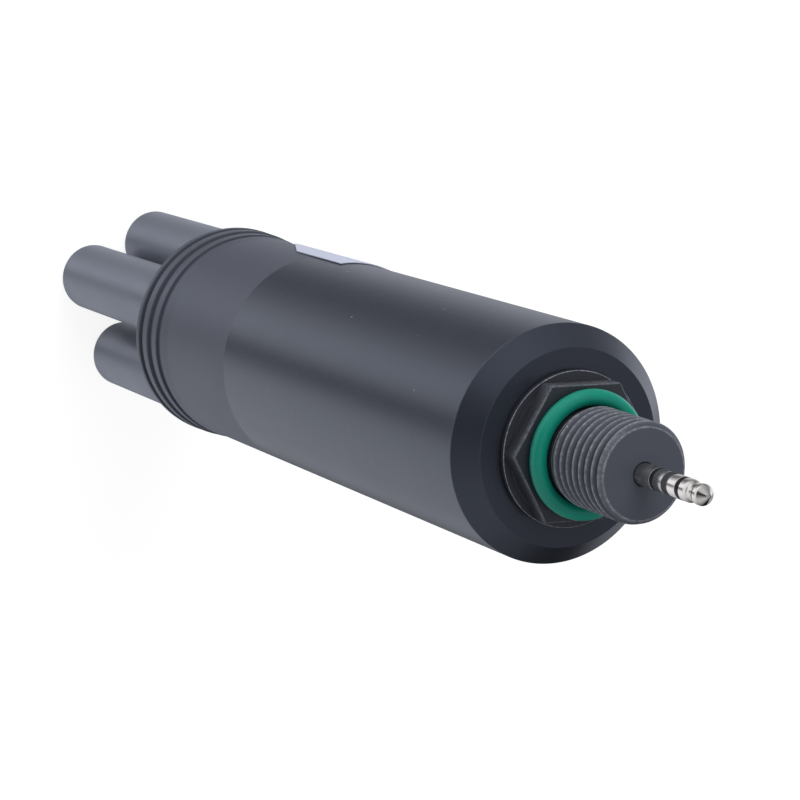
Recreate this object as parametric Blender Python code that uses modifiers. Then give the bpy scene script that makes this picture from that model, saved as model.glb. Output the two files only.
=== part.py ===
"""Ammonia nitrogen sensor for water, built piece by piece.

Four ion-selective electrodes stand in a turned head. The head plugs into a barrel that holds the
circuit board. A threaded connector with a four-pole jack plug closes the other end of the barrel.

Frame: the axis is +Z, from the electrodes' tips at z = 0 up to the tip of the jack plug.
The electrodes stand near +X, +Y, -X and -Y, and the sticker faces +Y. Lengths are metres.
"""

import math

import bmesh
import bpy
from mathutils import Vector

MM = 0.001

# Clearances
SEAT_GAP = 0.3 * MM        # between faces that seat on each other
SLIDE_GAP = 0.25 * MM      # radial, between a stem and its hole
TOUCH_GAP = 0.1 * MM       # round seals, membranes and soldered parts
JACK_GAP = 0.05 * MM       # between the nested contacts of the jack plug
WELD = 0.005 * MM

# Barrel
BARREL_RADIUS = 19.0 * MM
BARREL_WALL = 3.0 * MM
BARREL_LENGTH = 82.0 * MM
BARREL_CHAMFER_LENGTH = 3.4 * MM
BARREL_CHAMFER_DEPTH = 3.3 * MM
BARREL_END_WALL = 8.0 * MM
BARREL_LEAD_IN = 0.6 * MM
EDGE_BREAK = 0.25 * MM

# Sensor head
COLLAR_LENGTH = 14.0 * MM
COLLAR_RISE = 0.75 * MM
COLLAR_RUNOUT = 1.6 * MM
COLLAR_EDGE = 0.5 * MM
GROOVE_COUNT = 3
GROOVE_FIRST = 2.2 * MM    # from the face to the middle of the first groove
GROOVE_SPACING = 3.55 * MM
GROOVE_WIDTH = 1.7 * MM
GROOVE_DEPTH = 0.8 * MM
LAST_GROOVE_DEPTH = 0.5 * MM   # the groove nearest the barrel is shallower
BAND_LENGTH = 23.8 * MM
SPIGOT_LENGTH = 15.0 * MM
SPIGOT_EDGE = 0.5 * MM
HEAD_SEAL_TUBE = 0.75 * MM
HEAD_SEAL_COUNT = 2
HEAD_SEAL_FIRST = 3.5 * MM
HEAD_SEAL_SPACING = 5.0 * MM
SPIGOT_WALL = 2.35 * MM    # around the recess that holds the contact board
PORT_OVERRUN = 0.5 * MM

# Electrodes
ELECTRODE_REACH = 44.5 * MM
ELECTRODE_RADIUS = 6.5 * MM
ELECTRODE_MARGIN = 0.8 * MM    # from an electrode's side in to the barrel's radius
AMMONIUM_ANGLE = math.radians(0.0)    # the photo shows two of them off the quarter turns
POTASSIUM_ANGLE = math.radians(95.0)
PH_ANGLE = math.radians(174.0)
REFERENCE_ANGLE = math.radians(270.0)
ELECTRODE_TIP_ROUND = 1.2 * MM
STEM_RADIUS = 5.0 * MM
STEM_LENGTH = 21.5 * MM
STEM_SEAL_TUBE = 0.7 * MM
STEM_SEAL_HEIGHT = 6.0 * MM
MOUTH_RADIUS = 4.2 * MM
MOUTH_DEPTH = 2.2 * MM
MEMBRANE_INSET = 0.2 * MM
CHAMBER_RADIUS = 3.4 * MM
CHAMBER_ROOF = 4.5 * MM    # from the chamber up to the head's face
GLASS_WALL = 0.5 * MM
GLASS_INSET = 1.0 * MM
ROD_RADIUS = 0.5 * MM
ROD_START = 6.0 * MM
PIN_RADIUS = 0.9 * MM
PIN_LENGTH = 5.0 * MM
PIN_ROOM = 0.9 * MM        # from a pin's end up to the floor of the recess

# Temperature probe
PROBE_RADIUS = 2.0 * MM
PROBE_WALL = 0.5 * MM
PROBE_REACH = 8.0 * MM
PROBE_TOP_INSET = 2.7 * MM     # from the floor of the recess down to the probe's open end
BEAD_RADIUS = 1.1 * MM
BEAD_LENGTH = 4.0 * MM
LEAD_RADIUS = 0.35 * MM

# Contact board in the head's recess, with a socket for each electrode pin
BOARD_THICKNESS = 1.6 * MM
SOCKET_RADIUS = 1.5 * MM
SOCKET_LENGTH = 3.2 * MM
SOCKET_CAP = 0.6 * MM

# Main board, its holders and what is soldered on it
MAIN_BOARD_WIDTH = 27.0 * MM
TAIL_ROOM = 2.2 * MM       # between the upper board holder and the tail connector's stem
HOLDER_LENGTH = 4.0 * MM
HOLDER_WALL = 5.2 * MM
HOLDER_SLOT_DEPTH = 2.5 * MM
PROCESSOR_SIZE = (10.0 * MM, 1.4 * MM, 10.0 * MM)
AMPLIFIER_SIZE = (6.0 * MM, 1.6 * MM, 5.0 * MM)
POWER_SIZE = (14.0 * MM, 6.0 * MM, 14.0 * MM)
HEADER_SIZE = (13.0 * MM, 4.5 * MM, 5.0 * MM)
BOARD_END_MARGIN = 4.5 * MM    # from each end of the board to the first part on it
RIBBON_WIDTH = 9.0 * MM
RIBBON_THICKNESS = 0.6 * MM
RIBBON_BOW = 5.0 * MM

# Tail connector
FLANGE_RADIUS = 12.3 * MM
FLANGE_THICKNESS = 0.9 * MM
HEX_ACROSS_FLATS = 21.2 * MM
HEX_HEIGHT = 3.1 * MM
HEX_TURN = math.radians(48.4)
NECK_RADIUS = 7.45 * MM
NECK_LENGTH = 2.9 * MM
THREAD_RADIUS = 7.9 * MM
THREAD_LENGTH = 14.0 * MM
THREAD_LEAD = 0.45 * MM
THREAD_END_CHAMFER = 0.84 * MM
TAIL_BORE_RADIUS = 5.0 * MM
TAIL_FACE_WALL = 3.0 * MM
TAIL_STEM_RADIUS = 9.0 * MM
TAIL_O_RING_TUBE = 1.325 * MM
TAIL_SEAL_TUBE = 0.7 * MM
TAIL_SEAL_MARGIN = 0.5 * MM
NUT_THICKNESS = 5.0 * MM
NUT_ACROSS_FLATS = 24.0 * MM
STEM_PAST_NUT = 1.0 * MM

# Four-pole jack plug
JACK_RADIUS = 1.75 * MM
JACK_HOLE_GAP = 0.15 * MM
JACK_TUBE_WALL = 0.25 * MM
JACK_ROD_RADIUS = 0.45 * MM
JACK_SLEEVE_REACH = 3.95 * MM
JACK_SLEEVE_FLANGE = 2.5 * MM
JACK_INSULATOR_LENGTH = 0.7 * MM
JACK_RING_2_LENGTH = 2.4 * MM
JACK_RING_1_LENGTH = 2.6 * MM
JACK_TIP_COLLAR = 1.6 * MM
JACK_TIP_WAIST_RADIUS = 1.24 * MM
JACK_TIP_WAIST_AT = 2.3 * MM
JACK_TIP_BALL_RADIUS = 1.67 * MM
JACK_TIP_BALL_AT = 4.3 * MM
JACK_TIP_LENGTH = 5.7 * MM
JACK_TERMINAL_STEP = 2.5 * MM
JACK_TERMINAL_THICKNESS = 0.5 * MM
TERMINAL_MARGIN = 0.15 * MM
RING_1_TERMINAL_RADIUS = 2.1 * MM
WIRE_RADIUS = 0.45 * MM
WIRE_RISE = 4.0 * MM       # straight run of wire above the header

# Sticker across the seam of head and barrel, tapered towards the electrodes
STICKER_LENGTH = 28.7 * MM
STICKER_WIDTH = 16.2 * MM
STICKER_TAPER_LENGTH = 11.35 * MM
STICKER_TAPER_WIDTH = 5.1 * MM     # taken off each side
STICKER_THICKNESS = 0.2 * MM
STICKER_PAST_SEAM = 10.7 * MM

# Facets around each kind of round piece, and steps along its arcs
BARREL_FACETS = 48
HEAD_FACETS = 40
TAIL_FACETS = 40
HOLDER_FACETS = 24
ELECTRODE_FACETS = 24
JACK_FACETS = 16
SMALL_FACETS = 12
GREEN_RING_FACETS = (32, 8)
SEAL_FACETS = (24, 6)
STEM_SEAL_FACETS = (16, 6)
TIP_ARC_STEPS = 3
BULB_ARC_STEPS = 4
RIBBON_STEPS = 4
WIRE_STEPS = 3
STICKER_END_STEPS = 2      # from the sticker's middle line to the taper
STICKER_TAPER_STEPS = 4

# Heights along the axis that several pieces share
Z_FACE = ELECTRODE_REACH
Z_COLLAR_TOP = Z_FACE + COLLAR_LENGTH
Z_SEAM = Z_COLLAR_TOP + BAND_LENGTH
Z_BARREL_EDGE = Z_SEAM + BARREL_LENGTH
Z_BARREL_END = Z_BARREL_EDGE + BARREL_CHAMFER_LENGTH
Z_END_WALL = Z_BARREL_END - BARREL_END_WALL
Z_SPIGOT_TOP = Z_SEAM + SPIGOT_LENGTH
Z_CHAMBER_TOP = Z_FACE - CHAMBER_ROOF
Z_STEM_TOP = Z_FACE + STEM_LENGTH
Z_PIN_TOP = Z_STEM_TOP + SEAT_GAP + PIN_LENGTH
Z_RECESS = Z_PIN_TOP + PIN_ROOM
Z_CONTACT_BOARD = Z_RECESS + SEAT_GAP
Z_FLANGE = Z_BARREL_END + SEAT_GAP
Z_HEX = Z_FLANGE + FLANGE_THICKNESS
Z_HEX_FACE = Z_HEX + HEX_HEIGHT
Z_THREAD = Z_HEX_FACE + NECK_LENGTH
Z_TAIL_END = Z_THREAD + THREAD_LENGTH
Z_TAIL_STEM_END = Z_END_WALL - SEAT_GAP - NUT_THICKNESS - STEM_PAST_NUT
Z_LOWER_HOLDER = Z_SPIGOT_TOP + SEAT_GAP
Z_UPPER_HOLDER = Z_TAIL_STEM_END - TAIL_ROOM - HOLDER_LENGTH
Z_MAIN_BOARD = Z_LOWER_HOLDER + HOLDER_LENGTH - HOLDER_SLOT_DEPTH + SEAT_GAP
Z_MAIN_BOARD_TOP = Z_UPPER_HOLDER + HOLDER_SLOT_DEPTH - SEAT_GAP

# Radii that several pieces share
BORE_RADIUS = BARREL_RADIUS - BARREL_WALL
SPIGOT_RADIUS = BORE_RADIUS - SLIDE_GAP
RECESS_RADIUS = SPIGOT_RADIUS - SPIGOT_WALL
ELECTRODE_RING_RADIUS = BARREL_RADIUS - ELECTRODE_MARGIN - ELECTRODE_RADIUS
PORT_RADIUS = STEM_RADIUS + SLIDE_GAP
LEAD_HOLE_RADIUS = ROD_RADIUS + SLIDE_GAP
JACK_RING_1_BORE = JACK_ROD_RADIUS + JACK_GAP
JACK_RING_2_BORE = JACK_RING_1_BORE + JACK_TUBE_WALL + JACK_GAP
JACK_SLEEVE_BORE = JACK_RING_2_BORE + JACK_TUBE_WALL + JACK_GAP

# Heights of the jack plug's pieces, each one seated on the last
Z_SLEEVE_END = Z_TAIL_END + JACK_SLEEVE_REACH
Z_INSULATOR_3 = Z_SLEEVE_END + JACK_GAP
Z_RING_2 = Z_INSULATOR_3 + JACK_INSULATOR_LENGTH + JACK_GAP
Z_INSULATOR_2 = Z_RING_2 + JACK_RING_2_LENGTH + JACK_GAP
Z_RING_1 = Z_INSULATOR_2 + JACK_INSULATOR_LENGTH + JACK_GAP
Z_INSULATOR_1 = Z_RING_1 + JACK_RING_1_LENGTH + JACK_GAP
Z_JACK_TIP = Z_INSULATOR_1 + JACK_INSULATOR_LENGTH + JACK_GAP
Z_SLEEVE_FLANGE = Z_TAIL_END - TAIL_FACE_WALL - SEAT_GAP
Z_SLEEVE_TERMINAL = Z_SLEEVE_FLANGE - JACK_SLEEVE_FLANGE
Z_RING_2_TERMINAL = Z_SLEEVE_TERMINAL - JACK_TERMINAL_STEP
Z_RING_1_TERMINAL = Z_RING_2_TERMINAL - JACK_TERMINAL_STEP
Z_TIP_TERMINAL = Z_RING_1_TERMINAL - JACK_TERMINAL_STEP

# Radii of the terminals: each wire passes outside the terminals below it
RING_2_TERMINAL_RADIUS = RING_1_TERMINAL_RADIUS + 2 * WIRE_RADIUS + 2 * TERMINAL_MARGIN
SLEEVE_FLANGE_RADIUS = TAIL_BORE_RADIUS - SEAT_GAP

ELECTRODES = (
    ("ammonium", AMMONIUM_ANGLE),
    ("potassium", POTASSIUM_ANGLE),
    ("ph", PH_ANGLE),
    ("reference", REFERENCE_ANGLE),
)


def clear_scene():
    for old in list(bpy.data.objects):
        bpy.data.objects.remove(old, do_unlink=True)


def make_collection(name):
    collection = bpy.data.collections.new(name)
    bpy.context.scene.collection.children.link(collection)
    return collection


def make_material(name, colour, roughness, metallic=0.0):
    material = bpy.data.materials.new(name)
    material.use_nodes = True
    material.diffuse_color = (*colour, 1.0)
    shader = material.node_tree.nodes["Principled BSDF"]
    shader.inputs["Base Color"].default_value = (*colour, 1.0)
    shader.inputs["Roughness"].default_value = roughness
    shader.inputs["Metallic"].default_value = metallic
    return material


clear_scene()
PARTS = make_collection("ammonia_nitrogen_sensor")
BARREL_PLASTIC = make_material("barrel_plastic", (0.105, 0.115, 0.135), 0.42)
HEAD_PLASTIC = make_material("head_plastic", (0.120, 0.125, 0.140), 0.42)
TAIL_PLASTIC = make_material("tail_plastic", (0.075, 0.085, 0.105), 0.50)
ELECTRODE_PLASTIC = make_material("electrode_plastic", (0.180, 0.190, 0.215), 0.50)
GREEN_RUBBER = make_material("green_rubber", (0.010, 0.250, 0.160), 0.35)
BLACK_RUBBER = make_material("black_rubber", (0.020, 0.020, 0.020), 0.60)
BLACK_PLASTIC = make_material("black_plastic", (0.015, 0.015, 0.016), 0.35)
CHROMED_BRASS = make_material("chromed_brass", (0.720, 0.710, 0.690), 0.12, 1.0)
DULL_METAL = make_material("dull_metal", (0.160, 0.165, 0.170), 0.40, 1.0)
STEEL = make_material("steel", (0.550, 0.550, 0.540), 0.25, 1.0)
SILVER = make_material("silver", (0.780, 0.770, 0.740), 0.25, 1.0)
GOLD = make_material("gold", (0.830, 0.600, 0.250), 0.25, 1.0)
MEMBRANE = make_material("membrane", (0.700, 0.640, 0.480), 0.45)
CERAMIC = make_material("ceramic", (0.800, 0.790, 0.760), 0.70)
GLASS = make_material("glass", (0.750, 0.820, 0.800), 0.05)
CIRCUIT_BOARD = make_material("circuit_board", (0.020, 0.160, 0.060), 0.40)
CREAM_PLASTIC = make_material("cream_plastic", (0.620, 0.580, 0.480), 0.50)
STICKER_PAPER = make_material("sticker_paper", (0.660, 0.690, 0.850), 0.55)
WIRE_COLOURS = (
    make_material("red_wire", (0.450, 0.020, 0.020), 0.45),
    make_material("white_wire", (0.700, 0.700, 0.680), 0.45),
    make_material("yellow_wire", (0.600, 0.420, 0.030), 0.45),
    make_material("black_wire", (0.020, 0.020, 0.022), 0.45),
)


def add_part(name, mesh, material):
    part = bpy.data.objects.new(name, mesh)
    part.data.materials.append(material)
    PARTS.objects.link(part)
    return part


def settle(part, tools=()):
    """Applies the part's modifiers, removes their tools and shades its round faces smooth."""
    depsgraph = bpy.context.evaluated_depsgraph_get()
    mesh = bpy.data.meshes.new_from_object(part.evaluated_get(depsgraph))
    mesh.name = part.name
    mesh.shade_smooth()
    mesh.set_sharp_from_angle(angle=math.radians(30))
    part.modifiers.clear()
    part.data = mesh
    for tool in tools:
        bpy.data.objects.remove(tool, do_unlink=True)
    return part


def turn(name, profile, facets, material, closed=False):
    """Turns a profile of (radius, height) points about Z; a closed profile makes a tube."""
    mesh = bpy.data.meshes.new(name)
    edges = [(i, i + 1) for i in range(len(profile) - 1)]
    if closed:
        edges.append((len(profile) - 1, 0))
    mesh.from_pydata([(radius, 0.0, height) for radius, height in profile], edges, [])
    part = add_part(name, mesh, material)
    screw = part.modifiers.new("Turn", "SCREW")
    screw.axis = "Z"
    screw.steps = facets
    screw.render_steps = facets
    screw.use_merge_vertices = True
    screw.merge_threshold = WELD
    return part


def combine(part, tool, operation):
    boolean = part.modifiers.new(operation.title(), "BOOLEAN")
    boolean.operation = operation
    boolean.solver = "EXACT"
    boolean.object = tool


def tube_profile(outer, inner, top, bottom):
    return [(outer, top), (outer, bottom), (inner, bottom), (inner, top)]


def rod_profile(radius, top, bottom):
    return [(0.0, top), (radius, top), (radius, bottom), (0.0, bottom)]


def groove(radius, floor_radius, middle, width):
    """Four points of a square groove on a profile that runs downwards."""
    top = middle + width / 2
    bottom = middle - width / 2
    return [(radius, top), (floor_radius, top), (floor_radius, bottom), (radius, bottom)]


def arc(radius_at, height_at, size, start, end, steps):
    """Points of an arc about (radius_at, height_at), angles in degrees from +radius."""
    points = []
    for i in range(steps + 1):
        angle = math.radians(start + (end - start) * i / steps)
        points.append((radius_at + size * math.cos(angle), height_at + size * math.sin(angle)))
    return points


def box(name, size, centre, material, edge=0.0):
    mesh = bpy.data.meshes.new(name)
    body = bmesh.new()
    bmesh.ops.create_cube(body, size=1.0)
    bmesh.ops.scale(body, vec=size, verts=body.verts)
    body.to_mesh(mesh)
    body.free()
    part = add_part(name, mesh, material)
    part.location = centre
    if edge:
        bevel = part.modifiers.new("Edges", "BEVEL")
        bevel.width = edge
        bevel.segments = 1
    return part


def hexagon(name, across_flats, top, bottom, turn_angle, material):
    mesh = bpy.data.meshes.new(name)
    body = bmesh.new()
    corner = across_flats / math.sqrt(3)
    bmesh.ops.create_cone(
        body, cap_ends=True, segments=6, radius1=corner, radius2=corner, depth=top - bottom)
    body.to_mesh(mesh)
    body.free()
    part = add_part(name, mesh, material)
    part.location.z = (top + bottom) / 2
    part.rotation_euler.z = turn_angle
    return part


def o_ring(name, radius, tube, centre, facets, material):
    bpy.ops.mesh.primitive_torus_add(
        location=centre, major_radius=radius, minor_radius=tube,
        major_segments=facets[0], minor_segments=facets[1])
    ring = bpy.context.object
    ring.name = name
    ring.data.name = name
    ring.data.materials.append(material)
    ring.data.shade_smooth()
    for collection in list(ring.users_collection):
        collection.objects.unlink(ring)
    PARTS.objects.link(ring)
    return ring


def electrode_places():
    """Name and place of each electrode's axis."""
    for kind, angle in ELECTRODES:
        x = ELECTRODE_RING_RADIUS * math.cos(angle)
        y = ELECTRODE_RING_RADIUS * math.sin(angle)
        yield kind, Vector((x, y, 0.0))


def make_barrel():
    """The housing: a tube with a closed, chamfered end and a hole for the tail connector."""
    hole = TAIL_STEM_RADIUS + SLIDE_GAP
    profile = [
        (BARREL_RADIUS - BARREL_CHAMFER_DEPTH, Z_BARREL_END),
        (BARREL_RADIUS, Z_BARREL_EDGE),
        (BARREL_RADIUS, Z_SEAM + EDGE_BREAK),
        (BARREL_RADIUS - EDGE_BREAK, Z_SEAM),
        (BORE_RADIUS + BARREL_LEAD_IN, Z_SEAM),
        (BORE_RADIUS, Z_SEAM + BARREL_LEAD_IN),
        (BORE_RADIUS, Z_END_WALL),
        (hole, Z_END_WALL),
        (hole, Z_BARREL_END),
    ]
    settle(turn("housing_tube", profile, BARREL_FACETS, BARREL_PLASTIC, closed=True))


def head_seal_heights():
    return [Z_SEAM + HEAD_SEAL_FIRST + i * HEAD_SEAL_SPACING for i in range(HEAD_SEAL_COUNT)]


def head_profile():
    collar = BARREL_RADIUS + COLLAR_RISE
    seal_floor = BORE_RADIUS - 2 * HEAD_SEAL_TUBE - 2 * TOUCH_GAP
    seal_width = 2 * HEAD_SEAL_TUBE + 2 * SEAT_GAP
    band_top = Z_SEAM - SEAT_GAP
    profile = [
        (0.0, Z_RECESS),
        (RECESS_RADIUS, Z_RECESS),
        (RECESS_RADIUS, Z_SPIGOT_TOP),
        (SPIGOT_RADIUS - SPIGOT_EDGE, Z_SPIGOT_TOP),
        (SPIGOT_RADIUS, Z_SPIGOT_TOP - SPIGOT_EDGE),
    ]
    for height in reversed(head_seal_heights()):
        profile += groove(SPIGOT_RADIUS, seal_floor, height, seal_width)
    profile += [
        (SPIGOT_RADIUS, band_top),
        (BARREL_RADIUS - EDGE_BREAK, band_top),
        (BARREL_RADIUS, band_top - EDGE_BREAK),
        (BARREL_RADIUS, Z_COLLAR_TOP),
        (collar, Z_COLLAR_TOP - COLLAR_RUNOUT),
    ]
    for i in reversed(range(GROOVE_COUNT)):
        middle = Z_FACE + GROOVE_FIRST + i * GROOVE_SPACING
        depth = LAST_GROOVE_DEPTH if i == GROOVE_COUNT - 1 else GROOVE_DEPTH
        profile += groove(collar, collar - depth, middle, GROOVE_WIDTH)
    profile += [
        (collar, Z_FACE + COLLAR_EDGE),
        (collar - COLLAR_EDGE, Z_FACE),
        (0.0, Z_FACE),
    ]
    return profile


def make_head():
    """The electrode holder: grooved collar, band and spigot, with a port for each electrode."""
    head = turn("sensor_head", head_profile(), HEAD_FACETS, HEAD_PLASTIC)
    top = Z_RECESS + PORT_OVERRUN
    bottom = Z_FACE - PORT_OVERRUN
    drills = []
    for kind, place in electrode_places():
        profile = rod_profile(PORT_RADIUS, top, bottom)
        drill = settle(turn(kind + "_drill", profile, ELECTRODE_FACETS, HEAD_PLASTIC))
        drill.location = place
        drills.append(drill)
    probe_profile = rod_profile(PROBE_RADIUS + SLIDE_GAP, top, bottom)
    drills.append(settle(turn("probe_drill", probe_profile, JACK_FACETS, HEAD_PLASTIC)))
    bpy.context.view_layer.update()
    for drill in drills:
        combine(head, drill, "DIFFERENCE")
    settle(head, drills)


def make_head_seals():
    radius = BORE_RADIUS - TOUCH_GAP - HEAD_SEAL_TUBE
    for i, height in enumerate(head_seal_heights()):
        name = "head_o_ring_%d" % (i + 1)
        o_ring(name, radius, HEAD_SEAL_TUBE, (0, 0, height), SEAL_FACETS, BLACK_RUBBER)


def electrode_profile():
    """Body of an electrode: rounded tip with a mouth, chamber, shoulder and sealed stem."""
    shoulder = Z_FACE - SEAT_GAP
    seal_floor = PORT_RADIUS - 2 * STEM_SEAL_TUBE - 2 * TOUCH_GAP
    seal_width = 2 * STEM_SEAL_TUBE + 2 * SEAT_GAP
    flat = ELECTRODE_RADIUS - ELECTRODE_TIP_ROUND
    return [
        (LEAD_HOLE_RADIUS, Z_STEM_TOP),
        (STEM_RADIUS, Z_STEM_TOP),
        *groove(STEM_RADIUS, seal_floor, Z_FACE + STEM_SEAL_HEIGHT, seal_width),
        (STEM_RADIUS, shoulder),
        (ELECTRODE_RADIUS, shoulder),
        *arc(flat, ELECTRODE_TIP_ROUND, ELECTRODE_TIP_ROUND, 0, -90, TIP_ARC_STEPS),
        (MOUTH_RADIUS, 0.0),
        (MOUTH_RADIUS, MOUTH_DEPTH),
        (CHAMBER_RADIUS, MOUTH_DEPTH),
        (CHAMBER_RADIUS, Z_CHAMBER_TOP),
        (LEAD_HOLE_RADIUS, Z_CHAMBER_TOP),
    ]


def make_electrode(kind, place):
    body = turn(
        kind + "_electrode", electrode_profile(), ELECTRODE_FACETS, ELECTRODE_PLASTIC, closed=True)
    settle(body).location = place
    seal_radius = PORT_RADIUS - TOUCH_GAP - STEM_SEAL_TUBE
    centre = place + Vector((0, 0, Z_FACE + STEM_SEAL_HEIGHT))
    o_ring(kind + "_o_ring", seal_radius, STEM_SEAL_TUBE, centre, STEM_SEAL_FACETS, BLACK_RUBBER)


def make_inner_electrode(kind, place):
    """Silver rod in the electrode, with the contact pin that stands on the stem."""
    pin_foot = Z_STEM_TOP + SEAT_GAP
    profile = [
        (0.0, Z_PIN_TOP),
        (PIN_RADIUS, Z_PIN_TOP),
        (PIN_RADIUS, pin_foot),
        (ROD_RADIUS, pin_foot),
        (ROD_RADIUS, ROD_START),
        (0.0, ROD_START),
    ]
    rod = settle(turn(kind + "_inner_electrode", profile, SMALL_FACETS, SILVER))
    rod.location = place


def make_closed_rim(part):
    """Bridges the two open edges at the mouth of a turned cup."""
    body = bmesh.new()
    body.from_mesh(part.data)
    rims = [edge for edge in body.edges if edge.is_boundary]
    bmesh.ops.bridge_loops(body, edges=rims)
    body.to_mesh(part.data)
    body.free()


def make_sensing_tip(kind, place):
    """What touches the water: a membrane, a porous junction or, for pH, a glass bulb."""
    if kind == "ph":
        outer = CHAMBER_RADIUS - SEAT_GAP
        inner = outer - GLASS_WALL
        top = Z_CHAMBER_TOP - SEAT_GAP
        profile = [
            (outer, top),
            *arc(0.0, GLASS_INSET + outer, outer, 0, -90, BULB_ARC_STEPS),
            *arc(0.0, GLASS_INSET + outer, inner, -90, 0, BULB_ARC_STEPS),
            (inner, top),
        ]
        tip = settle(turn("ph_glass_bulb", profile, JACK_FACETS, GLASS))
        make_closed_rim(tip)
    else:
        name = "reference_junction" if kind == "reference" else kind + "_membrane"
        material = CERAMIC if kind == "reference" else MEMBRANE
        top = MOUTH_DEPTH - SEAT_GAP
        profile = rod_profile(MOUTH_RADIUS - TOUCH_GAP, top, MEMBRANE_INSET)
        tip = settle(turn(name, profile, ELECTRODE_FACETS, material))
    tip.location = place


def make_probe():
    """Steel temperature probe between the electrodes, with its thermistor."""
    bottom = Z_FACE - PROBE_REACH
    inner = PROBE_RADIUS - PROBE_WALL
    top = Z_RECESS - PROBE_TOP_INSET
    profile = [
        (0.0, bottom + PROBE_WALL),
        (inner, bottom + PROBE_WALL),
        (inner, top),
        (PROBE_RADIUS, top),
        (PROBE_RADIUS, bottom + PROBE_WALL),
        (PROBE_RADIUS - PROBE_WALL, bottom),
        (0.0, bottom),
    ]
    settle(turn("temperature_probe", profile, JACK_FACETS, STEEL))

    bead_bottom = bottom + PROBE_WALL + SEAT_GAP
    bead = [
        (0.0, Z_CONTACT_BOARD - SEAT_GAP),
        (LEAD_RADIUS, Z_CONTACT_BOARD - SEAT_GAP),
        (LEAD_RADIUS, bead_bottom + BEAD_LENGTH),
        (BEAD_RADIUS, bead_bottom + BEAD_LENGTH - LEAD_RADIUS),
        (BEAD_RADIUS, bead_bottom + LEAD_RADIUS),
        (BEAD_RADIUS - LEAD_RADIUS, bead_bottom),
        (0.0, bead_bottom),
    ]
    settle(turn("thermistor", bead, SMALL_FACETS, BLACK_PLASTIC))


def make_contact_board():
    top = Z_CONTACT_BOARD + BOARD_THICKNESS
    profile = rod_profile(RECESS_RADIUS - SEAT_GAP, top, Z_CONTACT_BOARD)
    settle(turn("contact_board", profile, ELECTRODE_FACETS, CIRCUIT_BOARD))


def make_socket(kind, place):
    """Socket under the contact board that the electrode's pin enters."""
    top = Z_CONTACT_BOARD - TOUCH_GAP
    bottom = top - SOCKET_LENGTH
    bore = PIN_RADIUS + TOUCH_GAP
    profile = [
        (0.0, top),
        (SOCKET_RADIUS, top),
        (SOCKET_RADIUS, bottom),
        (bore, bottom),
        (bore, top - SOCKET_CAP),
        (0.0, top - SOCKET_CAP),
    ]
    socket = settle(turn(kind + "_socket", profile, SMALL_FACETS, GOLD))
    socket.location = place


def make_board_holder(name, bottom, slot_at_top):
    """Ring that fits the barrel's bore, with a slot for the end of the main board."""
    top = bottom + HOLDER_LENGTH
    profile = tube_profile(SPIGOT_RADIUS, SPIGOT_RADIUS - HOLDER_WALL, top, bottom)
    holder = turn(name, profile, HOLDER_FACETS, BLACK_PLASTIC, closed=True)
    slot_middle = top if slot_at_top else bottom
    size = (
        MAIN_BOARD_WIDTH + 2 * SEAT_GAP,
        BOARD_THICKNESS + 2 * SEAT_GAP,
        2 * HOLDER_SLOT_DEPTH,
    )
    slot = box(name + "_slot", size, (0, 0, slot_middle), BLACK_PLASTIC)
    bpy.context.view_layer.update()
    combine(holder, slot, "DIFFERENCE")
    settle(holder, [slot])


def off_board(size):
    """Distance from the main board's middle plane to the middle of a part soldered on it."""
    return BOARD_THICKNESS / 2 + TOUCH_GAP + size[1] / 2


def make_main_board():
    """The board in its two holders, with a row of parts on its +Y face and one on the other."""
    size = (MAIN_BOARD_WIDTH, BOARD_THICKNESS, Z_MAIN_BOARD_TOP - Z_MAIN_BOARD)
    middle = (Z_MAIN_BOARD + Z_MAIN_BOARD_TOP) / 2
    settle(box("main_board", size, (0, 0, middle), CIRCUIT_BOARD))
    make_board_holder("lower_board_holder", Z_LOWER_HOLDER, slot_at_top=True)
    make_board_holder("upper_board_holder", Z_UPPER_HOLDER, slot_at_top=False)
    row = (
        ("electrode_header", HEADER_SIZE, CREAM_PLASTIC),
        ("amplifier", AMPLIFIER_SIZE, BLACK_PLASTIC),
        ("processor", PROCESSOR_SIZE, BLACK_PLASTIC),
        ("jack_header", HEADER_SIZE, CREAM_PLASTIC),
    )
    lengths = [part_size[2] for _, part_size, _ in row]
    gap = (size[2] - 2 * BOARD_END_MARGIN - sum(lengths)) / (len(row) - 1)
    bottom = Z_MAIN_BOARD + BOARD_END_MARGIN
    for name, part_size, material in row:
        centre = (0.0, off_board(part_size), bottom + part_size[2] / 2)
        settle(box(name, part_size, centre, material, edge=EDGE_BREAK))
        bottom += part_size[2] + gap
    centre = (0.0, -off_board(POWER_SIZE), middle)
    settle(box("power_module", POWER_SIZE, centre, BLACK_PLASTIC, edge=EDGE_BREAK))


def smooth_route(points, steps):
    """Points of a Catmull-Rom curve through the route's points."""
    ends = [points[0] * 2 - points[1], *points, points[-1] * 2 - points[-2]]
    route = []
    for a, b, c, d in zip(ends, ends[1:], ends[2:], ends[3:]):
        for i in range(steps):
            t = i / steps
            route.append(0.5 * (
                2 * b + (c - a) * t
                + (2 * a - 5 * b + 4 * c - d) * t ** 2
                + (3 * b - a - 3 * c + d) * t ** 3))
    route.append(points[-1])
    return route


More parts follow.
